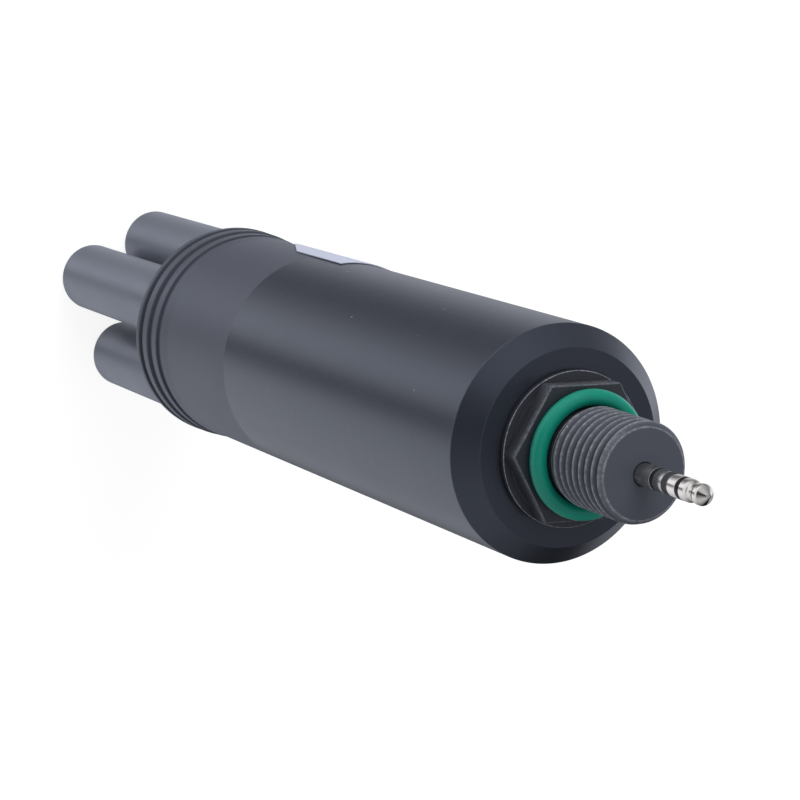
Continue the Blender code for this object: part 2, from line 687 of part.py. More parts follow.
def make_ribbon():
    """Flat cable from the contact board up to the electrode header."""
    start = Z_CONTACT_BOARD + BOARD_THICKNESS + SEAT_GAP
    header_y = off_board(HEADER_SIZE)
    end = Z_MAIN_BOARD + BOARD_END_MARGIN - SEAT_GAP
    bow = Vector((0, header_y + RIBBON_BOW, (start + end) / 2))
    ends = Vector((0, header_y, start)), Vector((0, header_y, end))
    route = smooth_route([ends[0], bow, ends[1]], RIBBON_STEPS)
    mesh = bpy.data.meshes.new("ribbon_cable")
    strip = bmesh.new()
    rows = []
    for point in route:
        left = strip.verts.new((-RIBBON_WIDTH / 2, point.y, point.z))
        right = strip.verts.new((RIBBON_WIDTH / 2, point.y, point.z))
        rows.append((left, right))
    for low, high in zip(rows, rows[1:]):
        strip.faces.new((low[0], low[1], high[1], high[0]))
    strip.to_mesh(mesh)
    strip.free()
    ribbon = add_part("ribbon_cable", mesh, CREAM_PLASTIC)
    solidify = ribbon.modifiers.new("Thickness", "SOLIDIFY")
    solidify.thickness = RIBBON_THICKNESS
    solidify.offset = 0.0
    settle(ribbon)


def tail_blank_profile():
    """Outside of the tail connector: thread, neck, flange and stem."""
    return [
        (0.0, Z_TAIL_END),
        (THREAD_RADIUS - THREAD_END_CHAMFER, Z_TAIL_END),
        (THREAD_RADIUS, Z_TAIL_END - THREAD_LEAD),
        (THREAD_RADIUS, Z_THREAD + THREAD_LEAD),
        (NECK_RADIUS, Z_THREAD),
        (NECK_RADIUS, Z_HEX),
        (FLANGE_RADIUS, Z_HEX),
        (FLANGE_RADIUS, Z_FLANGE),
        (TAIL_STEM_RADIUS, Z_FLANGE),
        (TAIL_STEM_RADIUS, Z_TAIL_STEM_END),
        (0.0, Z_TAIL_STEM_END),
    ]


def tail_seal_groove():
    """Inner radius, outer radius and depth of the groove under the flange."""
    inner = TAIL_STEM_RADIUS + TAIL_SEAL_MARGIN
    outer = inner + 2 * TAIL_SEAL_TUBE + 2 * TOUCH_GAP
    depth = 2 * TAIL_SEAL_TUBE + 2 * TOUCH_GAP - SEAT_GAP
    return inner, outer, depth


def make_tail_connector():
    """Turned blank with a hexagon, then bored for the jack plug and grooved for its seal."""
    tail = turn("tail_connector", tail_blank_profile(), TAIL_FACETS, TAIL_PLASTIC)
    flats = hexagon("flats", HEX_ACROSS_FLATS, Z_HEX_FACE, Z_HEX - SEAT_GAP, HEX_TURN, TAIL_PLASTIC)
    bore_top = Z_TAIL_END - TAIL_FACE_WALL
    hole = JACK_RADIUS + JACK_HOLE_GAP
    bore_profile = [
        (0.0, Z_TAIL_END + SEAT_GAP),
        (hole, Z_TAIL_END + SEAT_GAP),
        (hole, bore_top),
        (TAIL_BORE_RADIUS, bore_top),
        (TAIL_BORE_RADIUS, Z_TAIL_STEM_END - SEAT_GAP),
        (0.0, Z_TAIL_STEM_END - SEAT_GAP),
    ]
    bore = settle(turn("bore", bore_profile, ELECTRODE_FACETS, TAIL_PLASTIC))
    inner, outer, depth = tail_seal_groove()
    seal_profile = tube_profile(outer, inner, Z_FLANGE + depth, Z_FLANGE - SEAT_GAP)
    seal_cut = settle(turn("seal_cut", seal_profile, TAIL_FACETS, TAIL_PLASTIC, closed=True))
    bpy.context.view_layer.update()
    combine(tail, flats, "UNION")
    combine(tail, bore, "DIFFERENCE")
    combine(tail, seal_cut, "DIFFERENCE")
    settle(tail, [flats, bore, seal_cut])


def make_tail_seals():
    centre = (0, 0, Z_HEX_FACE + TOUCH_GAP + TAIL_O_RING_TUBE)
    radius = NECK_RADIUS + TOUCH_GAP + TAIL_O_RING_TUBE
    o_ring("green_o_ring", radius, TAIL_O_RING_TUBE, centre, GREEN_RING_FACETS, GREEN_RUBBER)
    inner, outer, _ = tail_seal_groove()
    centre = (0, 0, Z_BARREL_END + TOUCH_GAP + TAIL_SEAL_TUBE)
    o_ring("flange_seal", (inner + outer) / 2, TAIL_SEAL_TUBE, centre, SEAL_FACETS, BLACK_RUBBER)


def make_tail_nut():
    """Hexagonal nut inside the barrel that clamps the tail connector to the end wall."""
    top = Z_END_WALL - SEAT_GAP
    bottom = top - NUT_THICKNESS
    nut = hexagon("tail_nut", NUT_ACROSS_FLATS, top, bottom, 0.0, STEEL)
    profile = rod_profile(TAIL_STEM_RADIUS + SLIDE_GAP, top + SEAT_GAP, bottom - SEAT_GAP)
    hole = settle(turn("nut_hole", profile, ELECTRODE_FACETS, STEEL))
    bpy.context.view_layer.update()
    combine(nut, hole, "DIFFERENCE")
    settle(nut, [hole])


def contact_profile(bore, bottom, length, terminal, terminal_radius):
    """A jack contact: a collar at its top, a thin tube below it and a terminal disc at its foot."""
    outer = bore + JACK_TUBE_WALL
    top = bottom + length
    return [
        (bore, top),
        (JACK_RADIUS, top),
        (JACK_RADIUS, bottom),
        (outer, bottom),
        (outer, terminal + JACK_TERMINAL_THICKNESS),
        (terminal_radius, terminal + JACK_TERMINAL_THICKNESS),
        (terminal_radius, terminal),
        (bore, terminal),
    ]


def jack_tip_profile():
    ball = Z_JACK_TIP + JACK_TIP_BALL_AT
    waist = Z_JACK_TIP + JACK_TIP_WAIST_AT
    apex = Z_JACK_TIP + JACK_TIP_LENGTH
    return [
        (0.0, apex),
        (JACK_ROD_RADIUS, apex - JACK_ROD_RADIUS / 2),
        (JACK_TIP_BALL_RADIUS - JACK_GAP, ball + 2 * JACK_GAP),
        (JACK_TIP_BALL_RADIUS, ball),
        (JACK_TIP_WAIST_RADIUS, waist),
        (JACK_RADIUS, Z_JACK_TIP + JACK_TIP_COLLAR),
        (JACK_RADIUS, Z_JACK_TIP),
        (JACK_ROD_RADIUS, Z_JACK_TIP),
        (JACK_ROD_RADIUS, Z_TIP_TERMINAL),
        (0.0, Z_TIP_TERMINAL),
    ]


def make_jack():
    """Tip, two rings and sleeve nested in each other, with an insulating ring between each pair."""
    settle(turn("jack_tip", jack_tip_profile(), JACK_FACETS, CHROMED_BRASS))
    ring_1 = contact_profile(
        JACK_RING_1_BORE, Z_RING_1, JACK_RING_1_LENGTH, Z_RING_1_TERMINAL, RING_1_TERMINAL_RADIUS)
    ring_2 = contact_profile(
        JACK_RING_2_BORE, Z_RING_2, JACK_RING_2_LENGTH, Z_RING_2_TERMINAL, RING_2_TERMINAL_RADIUS)
    sleeve = [
        (JACK_SLEEVE_BORE, Z_SLEEVE_END),
        (JACK_RADIUS, Z_SLEEVE_END),
        (JACK_RADIUS, Z_SLEEVE_FLANGE),
        (SLEEVE_FLANGE_RADIUS, Z_SLEEVE_FLANGE),
        (SLEEVE_FLANGE_RADIUS, Z_SLEEVE_TERMINAL),
        (JACK_SLEEVE_BORE, Z_SLEEVE_TERMINAL),
    ]
    settle(turn("jack_ring_1", ring_1, JACK_FACETS, CHROMED_BRASS, closed=True))
    settle(turn("jack_ring_2", ring_2, JACK_FACETS, DULL_METAL, closed=True))
    settle(turn("jack_sleeve", sleeve, JACK_FACETS, DULL_METAL, closed=True))
    insulators = (
        (JACK_RING_1_BORE, Z_INSULATOR_1),
        (JACK_RING_2_BORE, Z_INSULATOR_2),
        (JACK_SLEEVE_BORE, Z_INSULATOR_3),
    )
    for i, (bore, bottom) in enumerate(insulators):
        profile = tube_profile(JACK_RADIUS, bore, bottom + JACK_INSULATOR_LENGTH, bottom)
        name = "jack_insulator_%d" % (i + 1)
        settle(turn(name, profile, JACK_FACETS, BLACK_PLASTIC, closed=True))


def make_wires():
    """Four wires from the jack plug's terminals down to the header on the main board."""
    inset = WIRE_RADIUS + TERMINAL_MARGIN
    starts = (
        (0.0, 0, Z_TIP_TERMINAL, 0.5),
        (RING_1_TERMINAL_RADIUS - inset, 240, Z_RING_1_TERMINAL, -0.5),
        (RING_2_TERMINAL_RADIUS - inset, 120, Z_RING_2_TERMINAL, -1.5),
        (SLEEVE_FLANGE_RADIUS - inset, 0, Z_SLEEVE_TERMINAL, 1.5),
    )
    header_y = off_board(HEADER_SIZE)
    header_top = Z_MAIN_BOARD_TOP - BOARD_END_MARGIN + SEAT_GAP
    pitch = HEADER_SIZE[0] / len(starts)
    for i, (radius, angle, top, column) in enumerate(starts):
        x = radius * math.cos(math.radians(angle))
        y = radius * math.sin(math.radians(angle))
        end = Vector((column * pitch, header_y, header_top))
        route = smooth_route([
            Vector((x, y, top - SEAT_GAP)),
            Vector((x, y, Z_TAIL_STEM_END)),
            Vector((end.x, end.y, header_top + WIRE_RISE)),
            end,
        ], WIRE_STEPS)
        make_wire("jack_wire_%d" % (i + 1), route, WIRE_COLOURS[i])


def make_wire(name, route, material):
    curve = bpy.data.curves.new(name, "CURVE")
    curve.dimensions = "3D"
    curve.bevel_depth = WIRE_RADIUS
    curve.bevel_resolution = 2
    curve.use_fill_caps = True
    spline = curve.splines.new("POLY")
    spline.points.add(len(route) - 1)
    for point, place in zip(spline.points, route):
        point.co = (*place, 1.0)
    add_part(name, curve, material)


def sticker_columns():
    """Distance from the sticker's middle line and length cut off by the taper, side to side."""
    end = STICKER_WIDTH / 2 - STICKER_TAPER_WIDTH
    half = [(end * i / STICKER_END_STEPS, 0.0) for i in range(1, STICKER_END_STEPS)]
    for i in range(STICKER_TAPER_STEPS + 1):
        share = i / STICKER_TAPER_STEPS
        half.append((end + STICKER_TAPER_WIDTH * share, STICKER_TAPER_LENGTH * share))
    return [(-across, cut) for across, cut in reversed(half)] + [(0.0, 0.0)] + half


def make_sticker():
    """Blank sticker bent round the seam of head and barrel."""
    radius = BARREL_RADIUS + TOUCH_GAP
    low = Z_SEAM + STICKER_PAST_SEAM - STICKER_LENGTH
    high = Z_SEAM + STICKER_PAST_SEAM
    mesh = bpy.data.meshes.new("sticker")
    sheet = bmesh.new()
    pairs = []
    for across, cut in sticker_columns():
        angle = math.pi / 2 - across / radius
        x = radius * math.cos(angle)
        y = radius * math.sin(angle)
        pairs.append((sheet.verts.new((x, y, low + cut)), sheet.verts.new((x, y, high))))
    for left, right in zip(pairs, pairs[1:]):
        sheet.faces.new((left[0], left[1], right[1], right[0]))
    sheet.to_mesh(mesh)
    sheet.free()
    sticker = add_part("sticker", mesh, STICKER_PAPER)
    solidify = sticker.modifiers.new("Thickness", "SOLIDIFY")
    solidify.thickness = STICKER_THICKNESS
    solidify.offset = 1.0
    settle(sticker)


make_barrel()
make_head()
make_head_seals()
for electrode_kind, electrode_place in electrode_places():
    make_electrode(electrode_kind, electrode_place)
    make_inner_electrode(electrode_kind, electrode_place)
    make_sensing_tip(electrode_kind, electrode_place)
    make_socket(electrode_kind, electrode_place)
make_probe()
make_contact_board()
make_main_board()
make_ribbon()
make_tail_connector()
make_tail_seals()
make_tail_nut()
make_jack()
make_wires()
make_sticker()
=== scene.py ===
"""Looks of the ammonia nitrogen sensor: finer pieces, finishes, studio and the photo's camera.

The frame is the CAD's: +Z is the axis, from the electrodes' tips up to the tip of the jack plug.
"""

import math

import bmesh
import bpy
from mathutils import Matrix, Vector


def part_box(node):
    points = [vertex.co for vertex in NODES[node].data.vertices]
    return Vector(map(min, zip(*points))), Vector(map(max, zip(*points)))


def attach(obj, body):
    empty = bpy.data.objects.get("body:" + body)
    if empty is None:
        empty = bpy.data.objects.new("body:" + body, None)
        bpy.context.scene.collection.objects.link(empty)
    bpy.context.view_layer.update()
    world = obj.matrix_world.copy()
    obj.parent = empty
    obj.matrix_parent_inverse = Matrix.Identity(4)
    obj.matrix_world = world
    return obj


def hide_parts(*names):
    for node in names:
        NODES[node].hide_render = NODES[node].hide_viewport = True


MM = 0.001

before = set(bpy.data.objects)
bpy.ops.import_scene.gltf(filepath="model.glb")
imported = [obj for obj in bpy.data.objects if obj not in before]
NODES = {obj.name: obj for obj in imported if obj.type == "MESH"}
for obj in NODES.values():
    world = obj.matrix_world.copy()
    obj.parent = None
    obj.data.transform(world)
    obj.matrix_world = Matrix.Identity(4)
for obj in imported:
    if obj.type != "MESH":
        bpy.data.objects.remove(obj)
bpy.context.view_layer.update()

ELECTRODES = ("ammonium", "potassium", "ph", "reference")

# Points around each kind of round piece
BARREL_POINTS = 256
HEAD_POINTS = 256
RING_POINTS = 192
RING_TUBE_POINTS = 32
TAIL_POINTS = 160
ELECTRODE_POINTS = 128
JACK_POINTS = 96
SMALL_POINTS = 64
BULB_STEPS = 16

# Sizes that the frame's boxes don't give, first those of the barrel
BARREL_CHAMFER = (3.3 * MM, 3.4 * MM)    # across and along
BARREL_CHAMFER_ROUNDS = (0.22 * MM, 0.35 * MM)
END_WALL = 8.0 * MM
BARREL_BORE = 16.0 * MM
BORE_CHAMFER = 0.6 * MM
STEM_HOLE = 9.25 * MM
SEAT_GAP = 0.3 * MM
SEAM_GAP = 0.005 * MM    # the seam hardly shows on the real sensor

# Head and its collar, with grooves between ridges that get lower towards the barrel
COLLAR_RISE = 0.75 * MM
COLLAR_LENGTH = 13.0 * MM
COLLAR_SLOPE_ROUND = 1.6 * MM
COLLAR_FACE_ROUND = 0.5 * MM
RIDGE_RISES = (0.75 * MM, 0.65 * MM, 0.38 * MM, 0.20 * MM)    # over the band, from the face up
RIDGE_ROUND = 0.16 * MM
GROOVE_MIDDLES = (2.2 * MM, 5.75 * MM, 9.3 * MM)
GROOVE_WIDTH = 1.5 * MM
GROOVE_FLOORS = (-0.05 * MM, -0.05 * MM, -0.15 * MM)
SPIGOT_GAP = 0.25 * MM
SPIGOT_CHAMFER = 0.5 * MM
RECESS_RADIUS = 13.4 * MM
RECESS_FLOOR = 72.2 * MM
HEAD_SEALS = (3.5 * MM, 8.5 * MM)
HEAD_SEAL_GROOVE = (14.3 * MM, 2.1 * MM)    # radius of the floor and width
SEAL_GROOVE_ROUND = 0.08 * MM
PORT_RADIUS = 5.25 * MM
PROBE_HOLE = 2.25 * MM
CUTTER_OVERRUN = 1.0 * MM

# Electrodes, their sensing tips and the temperature probe
STEM_RADIUS = 5.0 * MM
STEM_SEAL = 6.0 * MM
STEM_SEAL_GROOVE = (3.65 * MM, 2.0 * MM)
TIP_ROUND = 1.2 * MM
MOUTH = (4.2 * MM, 2.2 * MM)    # radius and depth
MOUTH_ROUND = 0.25 * MM
CHAMBER_RADIUS = 3.4 * MM
CHAMBER_ROOF = 4.5 * MM    # from the chamber up to the head's face
LEAD_HOLE = 0.75 * MM
DISH_DEPTH = 0.12 * MM
DISH_SHARE = 0.45    # of the disc's radius
DISH_ROUND = 1.0 * MM
GLASS_WALL = 0.5 * MM
PROBE_WALL = 0.5 * MM
PROBE_TIP_ROUND = 0.9 * MM

# Tail connector with flange, hexagon, neck and thread
FLANGE_THICKNESS = 0.9 * MM
FLANGE_ROUND = 0.12 * MM
FLANGE_SEAL_GROOVE = (9.5 * MM, 11.1 * MM, 1.17 * MM)    # radii and depth
HEX_FLATS = 21.2 * MM
HEX_HEIGHT = 3.1 * MM
HEX_TURN = math.radians(48.4)
HEX_SINK = 0.1 * MM
HEX_ROUND = 0.22 * MM
HEX_HOLE_INSET = 0.2 * MM
HEX_WEAR_REACH = 0.3 * MM    # from the upper edges, down the sides and in over the top
NECK_RADIUS = 7.45 * MM
NECK_LENGTH = 2.9 * MM
THREAD_RADIUS = 7.9 * MM
THREAD_PITCH = 1.75 * MM
THREAD_DEPTH = 1.1 * MM
THREAD_FLANK = math.radians(30)
THREAD_CREST = 0.30 * MM
THREAD_CREST_ROUND = 0.05 * MM
THREAD_ROOT_ROUND = 0.12 * MM
THREAD_CREST_AT = 188.46 * MM    # height of a crest on the -X side
THREAD_CHAMFER_WIDTH = 0.84 * MM    # across, at the end
THREAD_CHAMFER_LENGTH = 0.45 * MM    # along
THREAD_RIM = THREAD_RADIUS - THREAD_CHAMFER_WIDTH
THREAD_END_SLOPE = THREAD_CHAMFER_LENGTH / THREAD_CHAMFER_WIDTH
THREAD_OVERRUN = 2.0 * MM    # past each end, cut off afterwards
FLANK_SHARES = (0.2, 0.55)    # of the depth, where the flanks have points so that wear and painted shade can change
TAIL_STEM = 9.0 * MM
TAIL_BORE = 5.0 * MM
TAIL_WALL = 3.0 * MM

# Jack plug
JACK_HOLE = 1.90 * MM
JACK_BORES = (0.5 * MM, 0.8 * MM, 1.1 * MM)    # of ring 1, ring 2 and the sleeve
JOINT_GAP = 0.05 * MM
CONTACT_WALL = 0.25 * MM
CONTACT_TERMINAL = 0.5 * MM
ROD_RADIUS = 0.45 * MM
RING_1_LOWER = 0.95 * MM    # the chromed ring reaches lower than the CAD's
APEX_FLAT = (0.42 * MM, 0.18 * MM)    # radius and distance from the apex
TIP_WAIST_ROUND = 1.2 * MM
TIP_SHOULDER_ROUND = 0.22 * MM
TIP_OUTLINE = (    # radius and distance from the foot, in millimetres
    (1.75, 1.25), (1.66, 1.70), (1.42, 2.10), (1.33, 2.45), (1.40, 2.80), (1.56, 3.20), (1.63, 3.55),
    (1.64, 4.45))

# Sticker
STICKER_TAPER = (5.1 * MM, 11.35 * MM)    # across and along
STICKER_HALF_WIDTH = 8.1 * MM
STICKER_THICKNESS = 0.22 * MM
STICKER_GAP = 0.06 * MM
STICKER_STEP = 0.5 * MM
STICKER_ROUND = 0.07 * MM

# Rounds that many edges share, from hardly there to easily seen
HAIR = 0.02 * MM
THIN = 0.03 * MM
FINE = 0.05 * MM
SLIGHT = 0.06 * MM
CRISP = 0.07 * MM
EDGE_BREAK = 0.1 * MM
SMALL = 0.15 * MM
MILD = 0.2 * MM
SOFT = 0.3 * MM

ROUND_REACH = 0.45    # of a side, so that the next corner's round has room too
STRAIGHT = 0.02    # a corner that turns less than this, in radians, isn't rounded
SHARP_ANGLE = math.radians(42)    # faces that meet at more than this are shaded apart
NEAR = 0.004 * MM    # closer than this counts as touching


# Profiles

def rounded(corners, steps=4, loop=False):
    """Rounds a profile's corners.

    corners: (radius, height, fillet), and a share of wear and painted shade as a fourth value where it
    isn't 1, listed so that the material is on the right hand. Gives (radius, height, wear and shade)
    points: the value is
    1 on outer rounds, for worn edges, -1 on inner ones, for painted shade in the hollows, and 0
    elsewhere.
    """
    points = []
    count = len(corners)
    for i, corner in enumerate(corners):
        r, z, fillet = corner[:3]
        share = corner[3] if len(corner) > 3 else 1.0
        here = Vector((r, z))
        at_end = not loop and i in (0, count - 1)
        if fillet <= 0 or at_end:
            points.append((r, z, 0.0))
            continue
        before = here - Vector(corners[i - 1][:2])
        after = Vector(corners[(i + 1) % count][:2]) - here
        reach = ROUND_REACH * min(before.length, after.length)
        before.normalize()
        after.normalize()
        cross = before.x * after.y - before.y * after.x
        turn = math.acos(max(-1.0, min(1.0, before.dot(after))))
        if turn < STRAIGHT:
            points.append((r, z, 0.0))
            continue
        cut_back = min(fillet * math.tan(turn / 2), reach)
        size = cut_back / math.tan(turn / 2)
        side = 1.0 if cross > 0 else -1.0
        normal = Vector((-before.y, before.x)) * side
        centre = here - before * cut_back + normal * size
        start = here - before * cut_back - centre
        for k in range(steps + 1):
            angle = side * turn * k / steps
            spoke = Vector((
                start.x * math.cos(angle) - start.y * math.sin(angle),
                start.x * math.sin(angle) + start.y * math.cos(angle)))
            place = centre + spoke
            # outer rounds get wear, inner rounds a painted shade in the hollow
            wear_and_shade = -side * share * math.sin(math.pi * k / steps)
            points.append((place.x, place.y, wear_and_shade))
    return points


def arc(centre, size, start, end):
    """Points of an arc about a centre on the axis, angles in degrees from +radius."""
    points = []
    for k in range(BULB_STEPS + 1):
        angle = math.radians(start + (end - start) * k / BULB_STEPS)
        points.append((size * math.cos(angle), centre + size * math.sin(angle), 0.0))
    return points


def groove_corners(radius, floor, middle, width, fillet, low_radius=None):
    """Corners of a groove, from its upper edge down; its lower edge may have another radius."""
    high, low = middle + width / 2, middle - width / 2
    return [(radius, high, fillet), (floor, high, 2 * fillet), (floor, low, 2 * fillet),
            (low_radius or radius, low, fillet)]


def between(value, stops):
    """Value on a broken line through (place, value) stops."""
    for (low, start), (high, end) in zip(stops, stops[1:]):
        if value <= high:
            share = max(0.0, (value - low) / (high - low))
            return start + (end - start) * share
    return stops[-1][1]


# Meshes

def finish_mesh(mesh, wear_and_shade):
    # the attribute holds edge wear above 0 and painted shade below 0
    attribute = mesh.attributes.get("wear_and_shade") or mesh.attributes.new("wear_and_shade", "FLOAT", "POINT")
    attribute.data.foreach_set("value", wear_and_shade)
    mesh.validate()
    mesh.shade_smooth()
    mesh.set_sharp_from_angle(angle=SHARP_ANGLE)


def new_object(name, mesh, material):
    piece = bpy.data.objects.new(name, mesh)
    bpy.context.scene.collection.objects.link(piece)
    mesh.materials.append(material)
    return piece


def turned(name, profile, points, material, loop=False):
    """Turns (radius, height, wear and painted shade) points about Z. Points at radius 0 become a
    single vertex.
    """
    verts, wear_and_shade, rings = [], [], []
    for r, z, wear_and_shade_value in profile:
        if r < 1e-7:
            rings.append([len(verts)])
            verts.append((0.0, 0.0, z))
            wear_and_shade.append(wear_and_shade_value)
            continue
        rings.append(list(range(len(verts), len(verts) + points)))
        for j in range(points):
            angle = 2 * math.pi * j / points
            verts.append((r * math.cos(angle), r * math.sin(angle), z))
            wear_and_shade.append(wear_and_shade_value)
    pairs = list(zip(rings, rings[1:]))
    if loop:
        pairs.append((rings[-1], rings[0]))
    faces = []
    for high, low in pairs:
        if len(high) == 1 and len(low) == 1:
            continue
        for j in range(points):
            k = (j + 1) % points
            if len(high) == 1:
                faces.append((high[0], low[j], low[k]))
            elif len(low) == 1:
                faces.append((high[j], low[0], high[k]))
            else:
                faces.append((high[j], low[j], low[k], high[k]))
    mesh = bpy.data.meshes.new(name)
    mesh.from_pydata(verts, [], faces)
    finish_mesh(mesh, wear_and_shade)
    return new_object(name, mesh, material)


def cutter(name, radius, bottom, top, points, material):
    """A plain cylinder that reaches past both heights, to cut a hole with."""
    high, low = top + CUTTER_OVERRUN, bottom - CUTTER_OVERRUN
    profile = [(0.0, high, 0), (radius, high, 0), (radius, low, 0), (0.0, low, 0)]
    return turned(name, profile, points, material)


def cut(piece, tool, operation="DIFFERENCE"):
    change = piece.modifiers.new(operation.title(), "BOOLEAN")
    change.operation = operation
    change.solver = "EXACT"
    change.object = tool


def bevel_edges(piece, width, segments, angle):
    change = piece.modifiers.new("Edges", "BEVEL")
    change.width = width
    change.segments = segments
    change.limit_method = "ANGLE"
    change.angle_limit = math.radians(angle)


def apply_changes(piece, tools=()):
    """Applies a piece's modifiers and removes the tools that they used."""
    bpy.context.view_layer.update()
    depsgraph = bpy.context.evaluated_depsgraph_get()
    mesh = bpy.data.meshes.new_from_object(piece.evaluated_get(depsgraph))
    piece.modifiers.clear()
    piece.data = mesh
    for tool in tools:
        bpy.data.objects.remove(tool, do_unlink=True)
    mesh.shade_smooth()
    mesh.set_sharp_from_angle(angle=SHARP_ANGLE)


def dress(piece, slot, *nodes):
    """Puts a piece on the CAD's body in the place of these nodes."""
    change = piece.modifiers.new("Normals", "WEIGHTED_NORMAL")
    change.keep_sharp = True
    change.weight = 80
    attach(piece, "root")
    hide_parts(*nodes)


# Node materials

class Graph:
    """Short calls for building a material's nodes."""

    def __init__(self, tree):
        self.tree = tree

    def node(self, kind, inputs=(), **settings):
        node = self.tree.nodes.new(kind)
        for key, value in settings.items():
            setattr(node, key, value)
        for key, value in dict(inputs).items():
            self.put(node.inputs[key], value)
        return node

    def put(self, socket, value):
        if isinstance(value, bpy.types.NodeSocket):
            self.tree.links.new(value, socket)
        else:
            socket.default_value = value

    def math(self, operation, first, second=0.0):
        return self.node("ShaderNodeMath", {0: first, 1: second}, operation=operation).outputs[0]

    def spread(self, value, low, high, to_low=0.0, to_high=1.0, smooth=False):
        """Value stretched from one span to another, held within it."""
        kind = "SMOOTHSTEP" if smooth else "LINEAR"
        inputs = dict(enumerate((value, low, high, to_low, to_high)))
        return self.node("ShaderNodeMapRange", inputs, interpolation_type=kind, clamp=True).outputs[0]

    def mix(self, amount, first, second):
        node = self.node("ShaderNodeMix", data_type="RGBA")
        self.put(node.inputs["Factor"], amount)
        self.put(node.inputs[6], first)     # 6 and 7 are the colours
        self.put(node.inputs[7], second)
        return node.outputs[2]

    def noise(self, where, scale, detail=3.0, rough=0.5):
        inputs = {"Vector": where, "Scale": scale, "Detail": detail, "Roughness": rough}
        return self.node("ShaderNodeTexNoise", inputs).outputs["Fac"]

    def noise_along(self, where, scale, detail):
        inputs = {"W": where, "Scale": scale, "Detail": detail}
        return self.node("ShaderNodeTexNoise", inputs, noise_dimensions="1D").outputs["Fac"]


GRAIN_SCALE = 2600.0
TOOL_MARK_SCALE = 4200.0
SCRATCH_SCALE = 900.0
NICK_SCALE = 1500.0
DUST_SCALE = 420.0
DUST_COLOUR = (0.55, 0.56, 0.58)
DUST_COVER = 0.8
BUMP_DISTANCE = 0.02 * MM
GLASS_IOR = 1.47
PLAIN = (1.0, 1.0, 1.0)
BLUISH = (0.80, 0.86, 1.0)


def colour(values, share=1.0):
    return (*[value * share for value in values], 1.0)


def turning_lines(graph, place):
    """Fine lines round the axis, on the sides and on the end faces alike."""
    x, y, z = graph.node("ShaderNodeSeparateXYZ", {"Vector": place}).outputs
    squares = graph.math("ADD", graph.math("MULTIPLY", x, x), graph.math("MULTIPLY", y, y))
    along = graph.math("ADD", z, graph.math("SQRT", squares))
    return graph.noise_along(along, TOOL_MARK_SCALE, 3.0)


def scratch_streaks(graph, place):
    stretched = graph.node("ShaderNodeMapping", {"Vector": place, "Scale": (1.0, 1.0, 9.0)})
    marks = graph.noise(stretched.outputs[0], SCRATCH_SCALE, 5.0, 0.7)
    return graph.spread(marks, 0.56, 0.70)


def wear_and_shade_paint(graph, place, paint, base, edge, edge_amount, hollow_shade, hollow_shade_tone):
    """Lighter on the outer edges and in nicks, from wear, and darker in the hollows, a painted shade.
    """
    wear_and_shade_value = graph.node("ShaderNodeAttribute", attribute_name="wear_and_shade").outputs["Fac"]
    nicks = graph.spread(graph.noise(place, NICK_SCALE, 4.0, 0.7), 0.38, 0.62, 0.25, 1.0)
    amount = graph.math("MULTIPLY", graph.math("MAXIMUM", wear_and_shade_value, 0.0), nicks)
    paint = graph.mix(graph.math("MULTIPLY", amount, edge_amount), paint, colour(edge))
    # painted shade in the hollows, darkest where the value is -1
    painted_shade_mask = graph.math("MAXIMUM", graph.math("MULTIPLY", wear_and_shade_value, -1.0), 0.0)
    return graph.mix(graph.math("MULTIPLY", painted_shade_mask, hollow_shade), paint, colour(base, hollow_shade_tone))


def dusty_paint(graph, place, paint, dust):
    """Pale specks in a share of the cells of a Voronoi pattern."""
    cells = graph.node(
        "ShaderNodeTexVoronoi", {"Vector": place, "Scale": DUST_SCALE, "Randomness": 1.0})
    pick = graph.node("ShaderNodeSeparateColor", {"Color": cells.outputs["Color"]}).outputs[0]
    chosen = graph.math("GREATER_THAN", pick, 1.0 - dust)
    speck = graph.spread(cells.outputs["Distance"], 0.045, 0.075, 1.0, 0.0)
    amount = graph.math("MULTIPLY", speck, chosen)
    return graph.mix(graph.math("MULTIPLY", amount, DUST_COVER), paint, colour(DUST_COLOUR))


